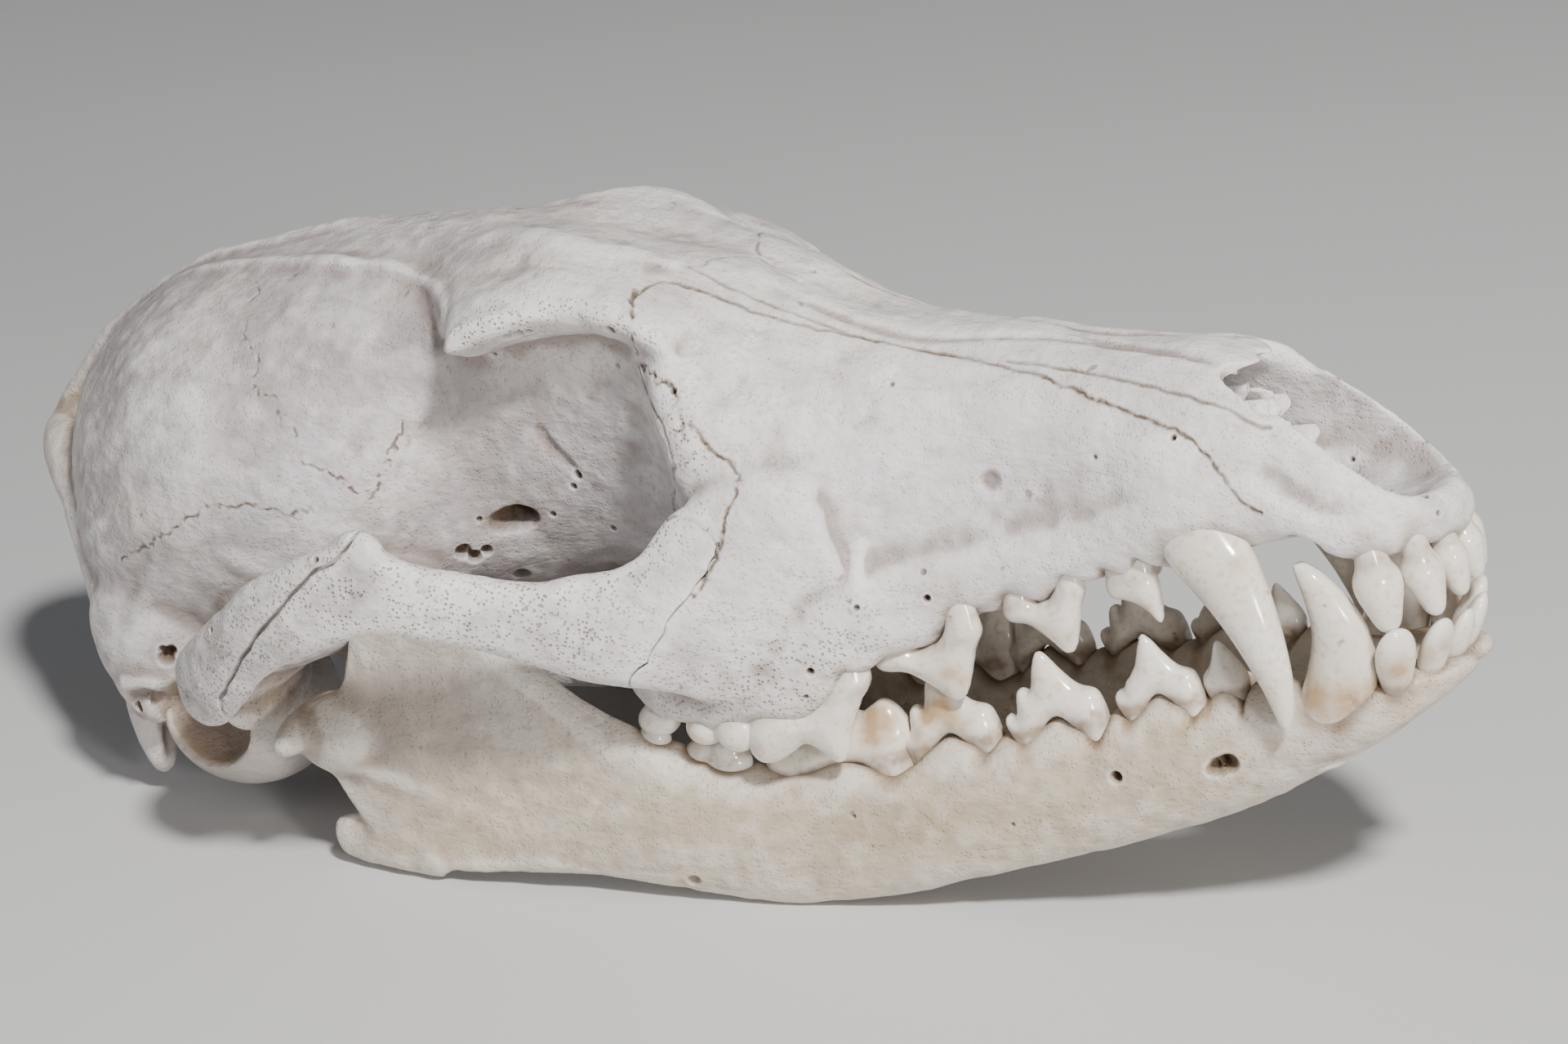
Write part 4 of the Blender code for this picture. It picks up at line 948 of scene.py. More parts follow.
UPPER_PEG = (
    (0.36, -0.8), (0.46, -0.1), (0.5, 0.16), (0.48, 0.5), (0.43, 0.86), (0.36, 1.0), (0.28, 0.95), (0.16, 0.74),
    (0.0, 0.56), (-0.2, 0.45), (-0.42, 0.38), (-0.5, 0.18), (-0.46, -0.1), (-0.36, -0.8))
OUTLINES = {"lower_peg": LOWER_PEG, "upper_peg": UPPER_PEG, "lower": LOWER_OUTLINE, "cusped": CUSPED_OUTLINE, "upper": UPPER_OUTLINE,
            "upper_blade": UPPER_BLADE, "lower_blade": LOWER_BLADE}

# Crown of an incisor: height, breadth along the row, depth across it
UPPER_INCISOR = ((-0.4, 0.6, 0.62), (-0.1, 0.64, 0.7), (0.08, 0.72, 0.8), (0.2, 0.92, 0.94), (0.32, 1.0, 1.0),
                 (0.48, 0.94, 0.92), (0.66, 0.76, 0.76), (0.82, 0.6, 0.6), (0.94, 0.42, 0.42), (1.0, 0.16, 0.16))
LOWER_INCISOR = ((-0.5, 0.5, 0.6), (-0.15, 0.62, 0.76), (0.08, 0.72, 0.86), (0.3, 0.88, 0.94),
                 (0.5, 1.0, 0.92), (0.7, 0.98, 0.78), (0.86, 0.8, 0.56), (0.96, 0.5, 0.34),
                 (1.0, 0.18, 0.14))

# Curve of each canine: x, y, z of its middle, breadth along the row, breadth across it
UPPER_CANINE = ((-19.8, -8.2, 11.0, 5.0, 3.6), (-18.0, -9.2, 6.5, 7.0, 4.4), (-16.1, -10.1, 2.8, 7.7, 4.9),
                (-14.7, -10.6, -0.2, 6.5, 4.6), (-13.6, -11.0, -3.4, 5.1, 4.0), (-12.9, -11.2, -6.6, 3.9, 3.3),
                (-12.6, -11.2, -9.6, 2.8, 2.5), (-12.7, -11.1, -12.0, 1.8, 1.7), (-13.0, -11.0, -13.5, 0.8, 0.8))
LOWER_CANINE = ((-13.0, -6.0, -19.0, 4.6, 3.4), (-11.0, -6.5, -15.0, 6.6, 4.4), (-9.4, -6.9, -12.4, 7.3, 4.8),
                (-7.9, -7.4, -9.2, 6.3, 4.4), (-7.2, -7.9, -6.0, 4.9, 3.8), (-7.5, -8.3, -3.2, 3.7, 3.0),
                (-8.3, -8.5, -0.8, 2.4, 2.1), (-9.0, -8.5, 0.4, 1.2, 1.1))

# Low crushing teeth at the back, as rounded lobes: centre and radii
UPPER_MOLARS = (
    (((-62.2, -19.2, -4.6), (2.2, 1.9, 2.3)), ((-65.5, -19.0, -4.1), (2.0, 1.8, 1.8)),
     ((-63.8, -17.0, -3.0), (3.6, 3.4, 2.4)), ((-64.0, -13.4, -2.8), (2.6, 3.4, 2.2)),
     ((-63.8, -13.6, -4.6), (1.2, 1.1, 1.1))),
    (((-71.0, -18.0, -3.2), (2.2, 1.6, 1.7)), ((-71.3, -15.4, -2.4), (1.9, 3.0, 1.8))),
)
LOWER_MOLARS = (
    (((-66.2, -15.6, -8.0), (1.9, 2.0, 1.9)), ((-68.8, -16.2, -7.8), (1.9, 1.9, 1.6)),
     ((-67.4, -15.9, -9.0), (3.3, 2.1, 2.0))),
    (((-72.6, -17.6, -5.2), (1.7, 1.5, 1.5)),),
)


def inside_and_depth(spots, outline):
    """How far each (x, z) spot lies inside a closed outline; negative outside."""
    inside = np.zeros(len(spots), dtype=bool)
    best = np.full(len(spots), 1e9)
    x, z = spots.T
    for (x0, z0), (x1, z1) in zip(outline, np.roll(outline, -1, axis=0)):
        crosses = (z0 > z) != (z1 > z)
        rise = z1 - z0 if z1 != z0 else 1e-9
        inside ^= crosses & (x < (x1 - x0) * (z - z0) / rise + x0)
        step = np.array((x1 - x0, z1 - z0))
        t = np.clip(((x - x0) * step[0] + (z - z0) * step[1]) / max(step @ step, 1e-12), 0, 1)
        best = np.minimum(best, np.hypot(x - x0 - t * step[0], z - z0 - t * step[1]))
    return np.where(inside, best, -best)


def blade(kind, length, width, height):
    """A flat-sided crown with its roots, thickest low down and keen at its crest."""
    outline = np.array(smooth_rows(OUTLINES[kind], 4, closed=True)) * (length, height)
    low = outline.min(axis=0) - TOOTH_GRAIN
    count = np.ceil((outline.max(axis=0) + TOOTH_GRAIN - low) / BLADE_STEP).astype(int) + 1
    across, up = np.meshgrid(np.arange(count[0]), np.arange(count[1]), indexing="ij")
    spots = np.stack([across.ravel(), up.ravel()], axis=1) * BLADE_STEP + low
    depth = inside_and_depth(spots, outline)
    used = (depth > 0).reshape(count)
    level = spots[:, 1] / height
    belly = np.interp(level, (-0.7, -0.1, 0.16, 0.34, 0.7, 1.0), (0.6, 0.82, 1.0, 0.92, 0.66, 0.4))
    edge = np.clip(depth / (width * 0.62), 0, 1)
    half = width / 2 * belly * np.sqrt(np.clip(1 - (1 - edge) ** 2, 0, 1)) + 0.03
    number = -np.ones(count, dtype=int)
    number[used] = np.arange(used.sum())
    kept = used.ravel()
    flat = np.concatenate([np.stack([spots[kept, 0], side * half[kept], spots[kept, 1]], axis=1)
                           for side in (-1, 1)])
    total = int(used.sum())
    cells = used[:-1, :-1] & used[1:, :-1] & used[1:, 1:] & used[:-1, 1:]
    i, j = np.nonzero(cells)
    front = np.stack([number[i, j], number[i + 1, j], number[i + 1, j + 1], number[i, j + 1]], axis=1)
    faces = [tuple(f) for f in front.tolist()] + [tuple(f[::-1]) for f in (front + total).tolist()]
    padded = np.pad(cells, 1)
    rims = ((padded[1:-1, :-2], (0, 0), (1, 0)), (padded[2:, 1:-1], (1, 0), (1, 1)),
            (padded[1:-1, 2:], (1, 1), (0, 1)), (padded[:-2, 1:-1], (0, 1), (0, 0)))
    for neighbour, start, end in rims:
        a, b = np.nonzero(cells & ~neighbour)
        one = number[a + start[0], b + start[1]]
        two = number[a + end[0], b + end[1]]
        faces += [tuple(f) for f in np.stack([two, one, one + total, two + total], axis=1).tolist()]
    mesh = bpy.data.meshes.new(kind)
    mesh.from_pydata(flat.tolist(), [], faces)
    thing = new_object(kind, mesh)
    body = bmesh.new()
    body.from_mesh(mesh)
    loose = [v for v in body.verts if not v.link_faces]
    bmesh.ops.delete(body, geom=loose, context="VERTS")
    body.to_mesh(mesh)
    body.free()
    return thing


def incisor(levels, length, width, height, lean):
    rings = []
    for t, broad, deep in smooth_rows(levels, 3):
        ring = []
        for k in range(24):
            turn = 2 * math.pi * k / 24
            ring.append((math.sin(turn) * width / 2 * deep + lean * t,
                         math.cos(turn) * length / 2 * broad, height * t))
        rings.append(ring)
    return skin("incisor", rings)


def canine(path):
    rings = []
    for x, y, z, along, across in smooth_rows(path, 5):
        ring = []
        for k in range(32):
            turn = 2 * math.pi * k / 32
            ring.append((x + math.cos(turn) * along / 2, y + math.sin(turn) * across / 2, z))
        rings.append(ring)
    return skin("canine", rings)


def lobes(spots):
    return joined("molar", [ball("lobe", centre, radii) for centre, radii in spots])


def set_tooth(thing, x, y, z, turn, lean, down):
    """Moves a tooth to its place in the row; upper teeth point down."""
    flip = Matrix.Scale(-1, 4, (0, 0, 1)) if down else Matrix.Identity(4)
    shear = Matrix.Identity(4)
    shear[2][0] = lean
    thing.data.transform(Matrix.Translation((x, y, z)) @ Matrix.Rotation(turn, 4, "Z") @ shear @ flip)
    return thing


def tooth_row(rows, fang, molars, down):
    made = []
    for kind, x, y, z, length, width, height, turn, lean in rows:
        if kind == "incisor":
            crown = incisor(UPPER_INCISOR if down else LOWER_INCISOR, length, width, height, lean)
            made.append(set_tooth(crown, x, y, z, -turn, 0.0, down))
        else:
            made.append(set_tooth(blade(kind, length, width, height), x, y, z, turn, lean, down))
    made.append(canine(fang))
    made += [lobes(spots) for spots in molars]
    return [grown_together(tooth, TOOTH_GRAIN, 5) for tooth in made]


def scallop(mesh, rows, down):
    """Draws the bone's edge back at each root and lets it stand between the two of a tooth."""
    points = points_of(mesh)
    laid = folded(points)
    up = 1 if down else -1
    shift = np.zeros(len(points))
    for kind, x, y, z, length, width, height, turn, lean in rows:
        if kind == "incisor":
            continue
        across = bell(laid[:, 1] - y - (x - laid[:, 0]) * math.tan(turn), width * 0.9 + 1.2)
        level = bell(laid[:, 2] - z - lean * (laid[:, 0] - x), 2.2)
        for spot, amount, reach in ((0.36, 1.2, 0.13), (-0.36, 0.7, 0.13), (0.0, -0.5, 0.12)):
            shift += up * amount * bell(laid[:, 0] - x - spot * length, reach * length) * across * level
    points[:, 2] += shift
    set_points(mesh, points)


def tooth_marks(thing, rows, stains):
    """Brown necks and stained faces of the teeth."""
    mesh = thing.data
    tree = bvh_of(thing)
    points = points_of(mesh)
    laid = folded(points)
    patch = 0.5 + 0.5 * clouds(points, 1.6)[:, 0] + 0.35 * clouds(points, 0.5)[:, 1]
    tan = np.zeros(len(points))
    for pixel, size, amount in stains:
        centre = seen(tree, pixel)
        if centre is not None:
            away = np.linalg.norm(laid - (centre.x, -abs(centre.y), centre.z), axis=1)
            tan = np.maximum(tan, bell(away, size) * amount)
    stain = np.zeros(len(points))
    for kind, x, y, z, length, width, height, turn, lean in rows:
        down = -1 if z > -8 else 1
        near = np.abs(laid[:, 0] - x) < length * 0.6 + 1.0
        neck = bell(np.abs((laid[:, 2] - z) * down) - 0.1, 0.7)
        stain = np.maximum(stain, neck * near * (0.75 if down > 0 else 0.35))
    paint(mesh, "tan", np.clip(tan * (0.9 + patch), 0, 0.95))
    paint(mesh, "stain", np.clip(stain * (0.3 + patch), 0, 0.75))
    paint(mesh, "pores", np.zeros(len(points)))
    paint(mesh, "seam", np.zeros(len(points)))


# Stained faces of the teeth: pixel, reach and strength
TOOTH_STAINS = {
    "lower": (((1150, 868), 1.2, 0.9), ((1136, 876), 1.1, 0.8), ((1163, 880), 1.1, 0.7), ((1178, 888), 0.9, 0.4),
              ((1128, 905), 0.9, 0.5), ((1072, 884), 1.7, 0.95), ((1066, 898), 1.4, 0.8), ((1080, 872), 1.0, 0.6),
              ((1610, 858), 2.0, 0.8), ((1650, 862), 1.8, 0.8), ((1680, 846), 1.4, 0.7), ((1714, 820), 1.3, 0.7),
              ((1745, 800), 1.1, 0.6), ((1770, 790), 1.0, 0.5)),
    "upper": (((1164, 826), 0.9, 0.55), ((1178, 834), 0.8, 0.45), ((1310, 780), 0.8, 0.4), ((1404, 745), 0.8, 0.4),
              ((845, 900), 0.8, 0.4), ((930, 915), 0.7, 0.3), ((1512, 690), 0.9, 0.3)),
}


# Shaders


def bone_material(name, tone):
    look = bpy.data.materials.new(name)
    look.use_nodes = True
    tree = look.node_tree
    shader = tree.nodes["Principled BSDF"]
    shader.inputs["Subsurface Weight"].default_value = 0.12
    shader.inputs["Subsurface Radius"].default_value = (0.0016, 0.0011, 0.0007)
    shader.inputs["Subsurface Scale"].default_value = 1.0
    shader.inputs["Specular IOR Level"].default_value = 0.42

    def node(kind, **values):
        made = tree.nodes.new(kind)
        for key, value in values.items():
            setattr(made, key, value)
        return made

    def noise(scale, detail, stretch=(1, 1, 1)):
        place = node("ShaderNodeTexCoord")
        spread = node("ShaderNodeMapping")
        spread.inputs["Scale"].default_value = stretch
        tree.links.new(place.outputs["Object"], spread.inputs["Vector"])
        made = node("ShaderNodeTexNoise")
        made.inputs["Scale"].default_value = scale
        made.inputs["Detail"].default_value = detail
        tree.links.new(spread.outputs["Vector"], made.inputs["Vector"])
        return made.outputs["Fac"]

    def attribute(label):
        made = node("ShaderNodeAttribute", attribute_name=label)
        return made.outputs["Fac"]

    def ramp(source, low, high, first, second):
        made = node("ShaderNodeMapRange")
        made.inputs["From Min"].default_value = low
        made.inputs["From Max"].default_value = high
        made.inputs["To Min"].default_value = first
        made.inputs["To Max"].default_value = second
        tree.links.new(source, made.inputs["Value"])
        return made.outputs["Result"]

    def blend(factor, below, above, mode="MIX"):
        made = node("ShaderNodeMix", data_type="RGBA", blend_type=mode)
        for socket, value in ((made.inputs[0], factor), (made.inputs[6], below), (made.inputs[7], above)):
            if isinstance(value, (int, float)):
                socket.default_value = value
            elif isinstance(value, tuple):
                socket.default_value = (*value, 1)
            else:
                tree.links.new(value, socket)
        return made.outputs[2]

    def maths(operation, first, second):
        made = node("ShaderNodeMath", operation=operation)
        for socket, value in zip(made.inputs, (first, second)):
            if isinstance(value, (int, float)):
                socket.default_value = value
            else:
                tree.links.new(value, socket)
        return made.outputs[0]

    color = blend(ramp(noise(38.0, 4.0), 0.38, 0.62, 0.0, 1.0), tone["cool"], tone["warm"])
    color = blend(ramp(noise(110.0, 6.0), 0.40, 0.62, 0.0, 0.85), color, tone["pale"])
    color = blend(ramp(noise(55.0, 6.0), 0.48, 0.68, 0.0, 0.75), color, tone["grey"])
    color = blend(ramp(noise(420.0, 6.0, (0.3, 1, 1)), 0.48, 0.7, 0.0, 0.55), color, tone["grey"])
    color = blend(ramp(noise(1500.0, 3.0), 0.52, 0.7, 0.0, 0.45), color, tone["tan"])
    # Painted light: the muzzle and upper face paler, as lit from the nose side.
    color = blend(maths("MULTIPLY", attribute("painted_light_front"), 0.45), color, tone["pale"])
    # Grey blotches over the rear of the head: partly the bone's own mottling, partly painted shade.
    shaded_rear_grey = maths("MULTIPLY", ramp(noise(80.0, 8.0), 0.42, 0.62, 0.0, 0.75), attribute("shaded_rear_grey"))
    color = blend(shaded_rear_grey, color, tone["grey"])
    color = blend(attribute("tan"), color, tone["tan"])
    lines = maths("ABSOLUTE", maths("SUBTRACT", noise(240.0, 2.0, (0.12, 1, 1)), 0.5), 0.0)
    color = blend(ramp(lines, 0.0, 0.008, 0.3, 0.0), color, tone["grey"])
    specks = ramp(noise(700.0, 1.0), 0.76, 0.8, 0.0, 0.6)
    color = blend(specks, color, tone["stain"])
    # Painted shade and highlight: concave places darkened towards the deep tone, convex edges lightened towards the
    # pale tone.
    color = blend(ramp(attribute("hollow"), 0.55, 1.0, 0.0, 0.75), color, tone["deep"])
    color = blend(ramp(attribute("hollow"), 0.1, 0.46, 0.5, 0.0), color, tone["pale"])
    color = blend(attribute("stain"), color, tone["stain"])
    color = blend(attribute("seam"), color, tone["seam"])
    pores = node("ShaderNodeTexVoronoi")
    pores.inputs["Scale"].default_value = 2500.0
    pores.inputs["Randomness"].default_value = 1.0
    place = node("ShaderNodeTexCoord")
    tree.links.new(place.outputs["Object"], pores.inputs["Vector"])
    holes = ramp(pores.outputs["Distance"], 0.14, 0.36, 1.0, 0.0)
    patches = ramp(noise(500.0, 2.0), 0.36, 0.56, 0.0, 1.0)
    holes = maths("MULTIPLY", maths("MULTIPLY", holes, patches), attribute("pores"))
    color = blend(maths("MULTIPLY", holes, 0.6), color, tone["stain"])
    tree.links.new(color, shader.inputs["Base Color"])
    rough = ramp(noise(260.0, 4.0), 0.3, 0.7, tone["rough"][0], tone["rough"][1])
    tree.links.new(rough, shader.inputs["Roughness"])
    broad = maths("MULTIPLY", noise(420.0, 6.0), 0.9)
    grain = maths("MULTIPLY", noise(1700.0, 4.0, (0.4, 1, 1)), 0.35)
    fine = maths("SUBTRACT", maths("ADD", broad, grain), maths("MULTIPLY", holes, 0.9))
    bump = node("ShaderNodeBump")
    bump.inputs["Strength"].default_value = 0.75
    bump.inputs["Distance"].default_value = 0.0006
    tree.links.new(fine, bump.inputs["Height"])
    tree.links.new(bump.outputs["Normal"], shader.inputs["Normal"])
    return look


def tooth_material(name, tone):
    look = bone_material(name, tone)
    shader = look.node_tree.nodes["Principled BSDF"]
    shader.inputs["Subsurface Weight"].default_value = 0.2
    shader.inputs["Specular IOR Level"].default_value = 0.55
    shader.inputs["Coat Weight"].default_value = 0.35
    shader.inputs["Coat Roughness"].default_value = 0.08
    for bump in (n for n in look.node_tree.nodes if n.type == "BUMP"):
        bump.inputs["Strength"].default_value = 0.04
    return look


# In these tones, deep is the painted shade of hollows; pale also serves as painted light on the front and as painted
# highlight on convex edges; grey also serves as painted shade over the rear; the seam colour darkens the sutures
# and, as painted shade, the small holes.
BONE_TONE = {"cool": (0.60, 0.56, 0.60), "warm": (0.68, 0.62, 0.575), "pale": (0.84, 0.81, 0.79),
             "grey": (0.34, 0.30, 0.305), "tan": (0.44, 0.32, 0.19), "stain": (0.15, 0.085, 0.04),
             "seam": (0.15, 0.10, 0.06), "deep": (0.30, 0.24, 0.21), "rough": (0.38, 0.6)}
JAW_TONE = {"cool": (0.57, 0.525, 0.47), "warm": (0.64, 0.57, 0.47), "pale": (0.77, 0.73, 0.66),
            "grey": (0.36, 0.32, 0.28), "tan": (0.44, 0.32, 0.18)}
TOOTH_TONE = {"cool": (0.76, 0.70, 0.60), "warm": (0.84, 0.79, 0.70), "pale": (0.90, 0.86, 0.80),
              "grey": (0.72, 0.66, 0.56), "tan": (0.50, 0.33, 0.17), "stain": (0.24, 0.14, 0.07),
              "seam": (0.2, 0.12, 0.07), "deep": (0.5, 0.4, 0.3), "rough": (0.12, 0.22)}


def finished(thing, look, *nodes):
    """Sets a piece down in the resting pose and hands it to the frame."""
    mesh = thing.data
    thing.name = mesh.name = "skull_" + thing.name.split(".")[0]
    mesh.transform(REST)
    mesh.shade_smooth()
    mesh.materials.clear()
    mesh.materials.append(look)
    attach(thing, "root")
    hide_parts(*nodes)
    return thing


def make_camera():
    lens = bpy.data.cameras.new("camera")
    thing = new_object("camera", lens)
    lens.sensor_width = SENSOR
    lens.lens = SENSOR * VIEW_FOCUS / PICTURE[0]
    lens.clip_start = 0.01
    place = Matrix((ACROSS, RISE, BACK)).transposed().to_4x4()
    place.translation = EYE
    location, rotation, scale = (REST @ place).decompose()
    thing.matrix_world = Matrix.LocRotScale(location, rotation, Vector((1, 1, 1)))
    bpy.context.scene.camera = thing


def make_stage():
    floor = new_object("floor", bpy.data.meshes.new("floor"))
    body = bmesh.new()
    bmesh.ops.create_grid(body, x_segments=2, y_segments=2, size=3.0)
    body.to_mesh(floor.data)
    body.free()
    look = bpy.data.materials.new("floor")
    look.use_nodes = True
    shader = look.node_tree.nodes["Principled BSDF"]
    grain = look.node_tree.nodes.new("ShaderNodeTexNoise")
    grain.inputs["Scale"].default_value = 40.0
    tint = look.node_tree.nodes.new("ShaderNodeMix")
    tint.data_type = "RGBA"
    tint.inputs[6].default_value = (0.60, 0.60, 0.60, 1)
    tint.inputs[7].default_value = (0.64, 0.64, 0.64, 1)
    look.node_tree.links.new(grain.outputs["Fac"], tint.inputs[0])
    look.node_tree.links.new(tint.outputs[2], shader.inputs["Base Color"])
    shader.inputs["Roughness"].default_value = 0.85
    floor.data.materials.append(look)


def area_light(name, place, size, energy, color, target=(0, 0, 0.03)):
    data = bpy.data.lights.new(name, "AREA")
    data.shape = "DISK"
    data.size = size
    data.energy = energy
    data.color = color
    lamp = new_object(name, data)
    lamp.location = place
    lamp.rotation_euler = (Vector(target) - Vector(place)).to_track_quat("-Z", "Y").to_euler()


def make_lights():
    area_light("key", (0.42, -0.36, 0.66), 0.10, 10.0, (1.0, 0.985, 0.96))
    area_light("fill", (-0.75, -0.55, 0.30), 0.5, 1.1, (0.88, 0.92, 1.0))
    area_light("low", (0.66, -0.46, 0.20), 0.12, 3.2, (1.0, 0.97, 0.94))
    world = bpy.data.worlds.new("studio")
    bpy.context.scene.world = world
    world.use_nodes = True
    world.node_tree.nodes["Background"].inputs["Color"].default_value = (0.82, 0.84, 0.88, 1)
    world.node_tree.nodes["Background"].inputs["Strength"].default_value = 0.13


def beside(mesh, tree, reach, used):
    """Distance of each used point of a bone to the teeth, up to a reach."""
    away = np.full(len(mesh.vertices), 9.0)
    points = points_of(mesh)
    for index in np.flatnonzero(used(points)).tolist():
        spot = tree.find_nearest(points[index], reach)[3]
        if spot is not None:
            away[index] = spot
    return away


def socket_lines(mesh, tree, strength, used):
    """Brown lines on a bone where its teeth leave it."""
    away = beside(mesh, tree, 1.2, used)
    points = points_of(mesh)
    patch = np.clip(0.75 + 0.5 * clouds(points, 2.2)[:, 0], 0.3, 1.0)
    held = mesh.attributes["stain"].data
    values = np.empty(len(points))
    held.foreach_get("value", values)
    values = np.maximum(values, bell(away, 0.55) * strength * patch)
    paint(mesh, "stain", np.clip(values, 0, 1))
    values = np.empty(len(points))
    mesh.attributes["tan"].data.foreach_get("value", values)
    paint(mesh, "tan", np.clip(np.maximum(values, bell(away, 1.0) * strength * patch), 0, 0.9))


def bone_marks(mesh, tree):
    """Attributes of a bone that its shader reads: stains, pores, tan that deepens towards the bottom, painted light
    over the front, grey that is partly painted shade over the rear, and hollows for painted shade and highlight.
    """
    points = points_of(mesh)
    laid = folded(points)
    rough = 0.5 + 0.5 * clouds(points, 6.0)[:, 0]
    fine = 0.5 + 0.5 * clouds(points, 1.6)[:, 1]
    tan = np.zeros(len(points))
    tan += bell(np.linalg.norm((laid - (-143, -4, 30)) / (5, 12, 9), axis=1), 1.0) * 0.8
    tan += np.clip(-(laid[:, 0] + 128) / 14, 0, 1) * 0.3
    # A tan that deepens towards the bottom.
    tan += np.clip((2 - laid[:, 2]) / 12, 0, 1) * 0.42
    tan += bell(np.linalg.norm((laid - (-110, -24, 6)) / (10, 8, 6), axis=1), 1.0) * 0.5
    for x, y, z in SOCKET_SPOTS:
        tan += bell(np.linalg.norm((laid - (x, y, z)) / (2.4, 2.4, 2.2), axis=1), 1.0) * 0.8
    stain = np.zeros(len(points))
    # Tan and dark brown in and around the ear opening: the opening's own brown, with painted shade in the opening
    # and in the recess behind it.
    ear = np.linalg.norm((laid - (EAR_CENTRE[0], -20.2, EAR_CENTRE[2])) / (7.4, 4.4, 5.8), axis=1)
    tan += bell(ear, 1.1) * 1.1
    stain += bell(ear, 0.9) * 0.5
    stain += bell(np.linalg.norm((laid - (-135, 0, 17)) / (7, 6, 6), axis=1), 1.0) * 0.5
    for x, y, z in SOCKET_SPOTS:
        stain += bell(np.linalg.norm((laid - (x, y, z)) / (1.6, 2.2, 0.9), axis=1), 1.0) * 0.8 * fine
    optic = traced(tree, OPTIC_HOLE)
    if optic:
        stain += bell(from_path(laid, optic)[0], 1.2) * 0.85
    pores = np.zeros(len(points))
    arch, along = from_path(laid, [(r[0], r[1], r[2]) for r in ARCH_ROWS[4:12]])
    pores += bell(arch, 6.0) * 0.8
    pores += bell(np.linalg.norm((laid - (-58, -19, 0)) / (12, 5, 5), axis=1), 1.0)
    for path, width, height in HEAD_RIDGES[2:4]:
        pores += bell(from_path(laid, path)[0], 1.6)
    # Painted light, full over the muzzle and upper face and fading to the rear and low down.
    painted_light_front = np.clip((laid[:, 0] + 76) / 34, 0, 1) * np.clip((laid[:, 2] + 2) / 8, 0, 1)
    paint(mesh, "painted_light_front", painted_light_front)
    # Where the rear grey falls: partly the bone's own mottling, partly painted shade.
    paint(mesh, "shaded_rear_grey", np.clip(-(laid[:, 0] + 74) / 12, 0, 1))
    # Painted shade and highlight: how far each point lies in a hollow, which the shader turns into darker hollows
    # and paler convex edges.
    hollow = hollowness(mesh, 24)
    paint(mesh, "tan", np.clip(tan * (0.45 + rough), 0, 0.85))
    paint(mesh, "stain", np.clip(stain, 0, 1))
    paint(mesh, "pores", np.clip(pores + 0.16, 0, 1))
    paint(mesh, "hollow", np.clip(0.5 + hollow / 0.24, 0, 1))


import time
T0 = time.time()


def clock(label):
    print("CLOCK", label, round(time.time() - T0, 1))


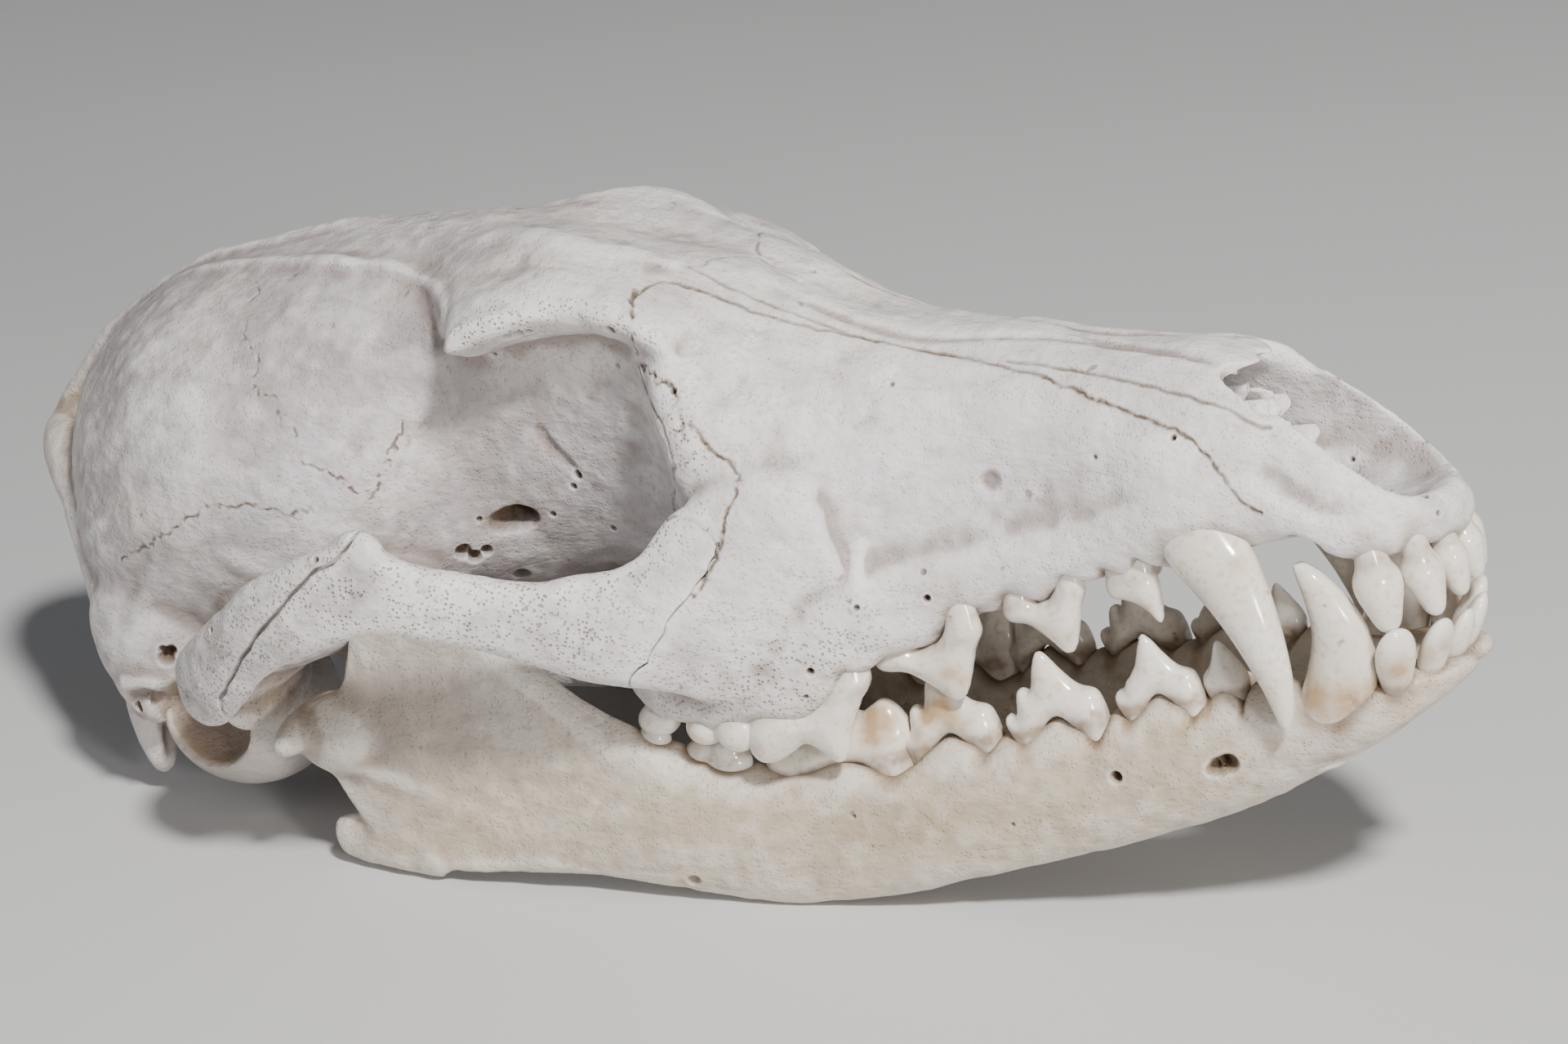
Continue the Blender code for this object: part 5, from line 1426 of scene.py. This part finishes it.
def main():
    bone = bone_material("bone", BONE_TONE)
    make_camera()
    make_stage()
    make_lights()
    head = grown_together(joined("cranium", cranium_mass()), GRAIN, 14)
    for cutter in hollows():
        cut(head, cutter)
    head = grown_together(head, FINE_GRAIN, 4)
    print("head", len(head.data.polygons))
    clock("head")
    tree = bvh_of(head)
    clock("tree")
    mesh = head.data
    push(mesh, traced(tree, TEMPORAL_LINE), 0.8, 0.45)
    push(mesh, traced(tree, FRONTAL_CREST), 1.6, 0.5)
    push(mesh, traced(tree, NASAL_GROOVE), 0.6, -0.3)
    push(mesh, ((-40.0, 0.0, 25.4), (-56.0, 0.0, 35.0), (-70.0, 0.0, 40.6), (-84.0, 0.0, 43.6)), 3.0, -1.0)
    dent(mesh, (-76.0, -13.0, 42.0), (5.0, 3.6, 4.0), 1.0)
    dent(mesh, (-34.0, -11.0, 12.0), (8.0, 4.0, 4.5), 0.7)
    for centre, radii, depth in HEAD_DENTS:
        dent(mesh, centre, radii, depth)
    for path, width, height in HEAD_RIDGES:
        push(mesh, path, width, height)
    for pixels, width, height in TRACED_RIDGES:
        push(mesh, traced(tree, pixels), width, height)
    scallop(mesh, UPPER_TEETH, True)
    noise_skin(mesh, 11.0, 0.45)
    noise_skin(mesh, 4.0, 0.22)
    noise_skin(mesh, 1.3, 0.08)
    tree = bvh_of(head)
    seams = []
    for name, width, depth, wave, dark, pixels in SUTURES:
        seams.append((name, width, depth, wave, dark, traced(tree, pixels)))
    seams.append(("midline", 0.1, 0.14, 0.1, 0.5, MIDLINE_SUTURE))
    for side in (-1, 1):
        cut(head, sheet("cheek_rear", wavy(CHEEK_REAR, 1.6, 0.25), 0.5, (side * 60.0, side * 29.0)))
        front = wavy(CHEEK_FRONT, 1.0, 0.35)
        cut(head, sheet("cheek_front", front, 0.16, (side * 60.0, side * 21.6)))
        cut(head, plate("cheek_inner", front, -76.0, side * 21.5, side * 21.7))
    clock("parting")
    bones = parted(head, 3)
    clock("parted")
    bones.sort(key=lambda piece: abs(piece.data.vertices[0].co.y) > 0 and points_of(piece.data)[:, 1].mean())
    cheek_right, head, cheek_left = bones
    pits = found_pits(tree, PITS)
    carve(head.data, seams, pits)
    for piece in (cheek_right, cheek_left):
        carve(piece.data, [], pits)
    clock("carved")
    for piece in bones:
        bone_marks(piece.data, tree)
    upper = joined("upper_teeth_right", tooth_row(UPPER_TEETH, UPPER_CANINE, UPPER_MOLARS, True))
    lower = joined("lower_teeth_right", tooth_row(LOWER_TEETH, LOWER_CANINE, LOWER_MOLARS, False))
    socket_lines(head.data, bvh_of(upper), 0.5, lambda spots: (spots[:, 0] > -76) & (spots[:, 2] < 6) & (spots[:, 1] < 0))
    cheek_right.name = "cheekbone_right"
    cheek_left.name = "cheekbone_left"
    head.name = "cranium"
    finished(head, bone, "upper_jaw", "braincase")
    finished(cheek_right, bone, "cheekbone_right")
    finished(cheek_left, bone, "cheekbone_left")

    scrolls = nose_scrolls()
    paint(scrolls.data, "seam", np.zeros(len(scrolls.data.vertices)))
    bone_marks(scrolls.data, tree)
    finished(scrolls, bone, "upper_jaw")
    clock("head done")
    bulla = ball("ear_capsule_right", BULLA_CENTRE, BULLA_SIZE, BULLA_TURN)
    cut(bulla, ball("ear", EAR_CENTRE, EAR_SIZE))
    bulla = grown_together(bulla, GRAIN, 4)
    twin = mirrored(bulla, "ear_capsule_left")
    for piece in (bulla, twin):
        bone_marks(piece.data, tree)
    finished(bulla, bone, "ear_capsule_right")
    finished(twin, bone, "ear_capsule_left")

    jaw = grown_together(joined("mandible_right", jaw_mass()), GRAIN, 14)
    cut(jaw, sheet("symphysis", ((20.0, 0.0), (-130.0, 0.0)), 80.0, (-0.1, 30.0)))
    jaw = grown_together(jaw, FINE_GRAIN, 3)
    scallop(jaw.data, LOWER_TEETH, False)
    jaw_tree = bvh_of(jaw)
    for centre, radii, depth in JAW_DENTS:
        dent(jaw.data, centre, radii, depth)
    for path, width, height in JAW_RIDGES:
        push(jaw.data, path, width, height)
    noise_skin(jaw.data, 11.0, 0.35)
    noise_skin(jaw.data, 4.0, 0.18)
    noise_skin(jaw.data, 1.3, 0.07)
    carve(jaw.data, [], found_pits(jaw_tree, JAW_PITS))
    bone_marks(jaw.data, tree)
    socket_lines(jaw.data, bvh_of(lower), 0.85, lambda spots: (spots[:, 0] > -78) & (spots[:, 2] > -18))
    jaw_twin = mirrored(jaw, "mandible_left")
    jaw_bone = bone_material("jaw_bone", {**BONE_TONE, **JAW_TONE})
    finished(jaw, jaw_bone, "mandible_right")
    finished(jaw_twin, jaw_bone, "mandible_left")

    clock("jaw done")
    enamel = tooth_material("enamel", TOOTH_TONE)
    for label, rows, fang, molars, down, nodes in (
            ("upper_teeth", UPPER_TEETH, UPPER_CANINE, UPPER_MOLARS, True, ("upper_jaw", "upper_jaw")),
            ("lower_teeth", LOWER_TEETH, LOWER_CANINE, LOWER_MOLARS, False, ("mandible_right", "mandible_left"))):
        right = upper if down else lower
        tooth_marks(right, rows, TOOTH_STAINS["upper" if down else "lower"])
        # Painted shade in the hollows of the teeth and painted highlight on their ridges.
        paint(right.data, "hollow", np.clip(0.5 + hollowness(right.data, 12) / 0.3, 0, 1))
        left = mirrored(right, label + "_left")
        finished(right, enamel, nodes[0])
        finished(left, enamel, nodes[1])
    clock("teeth done")


main()
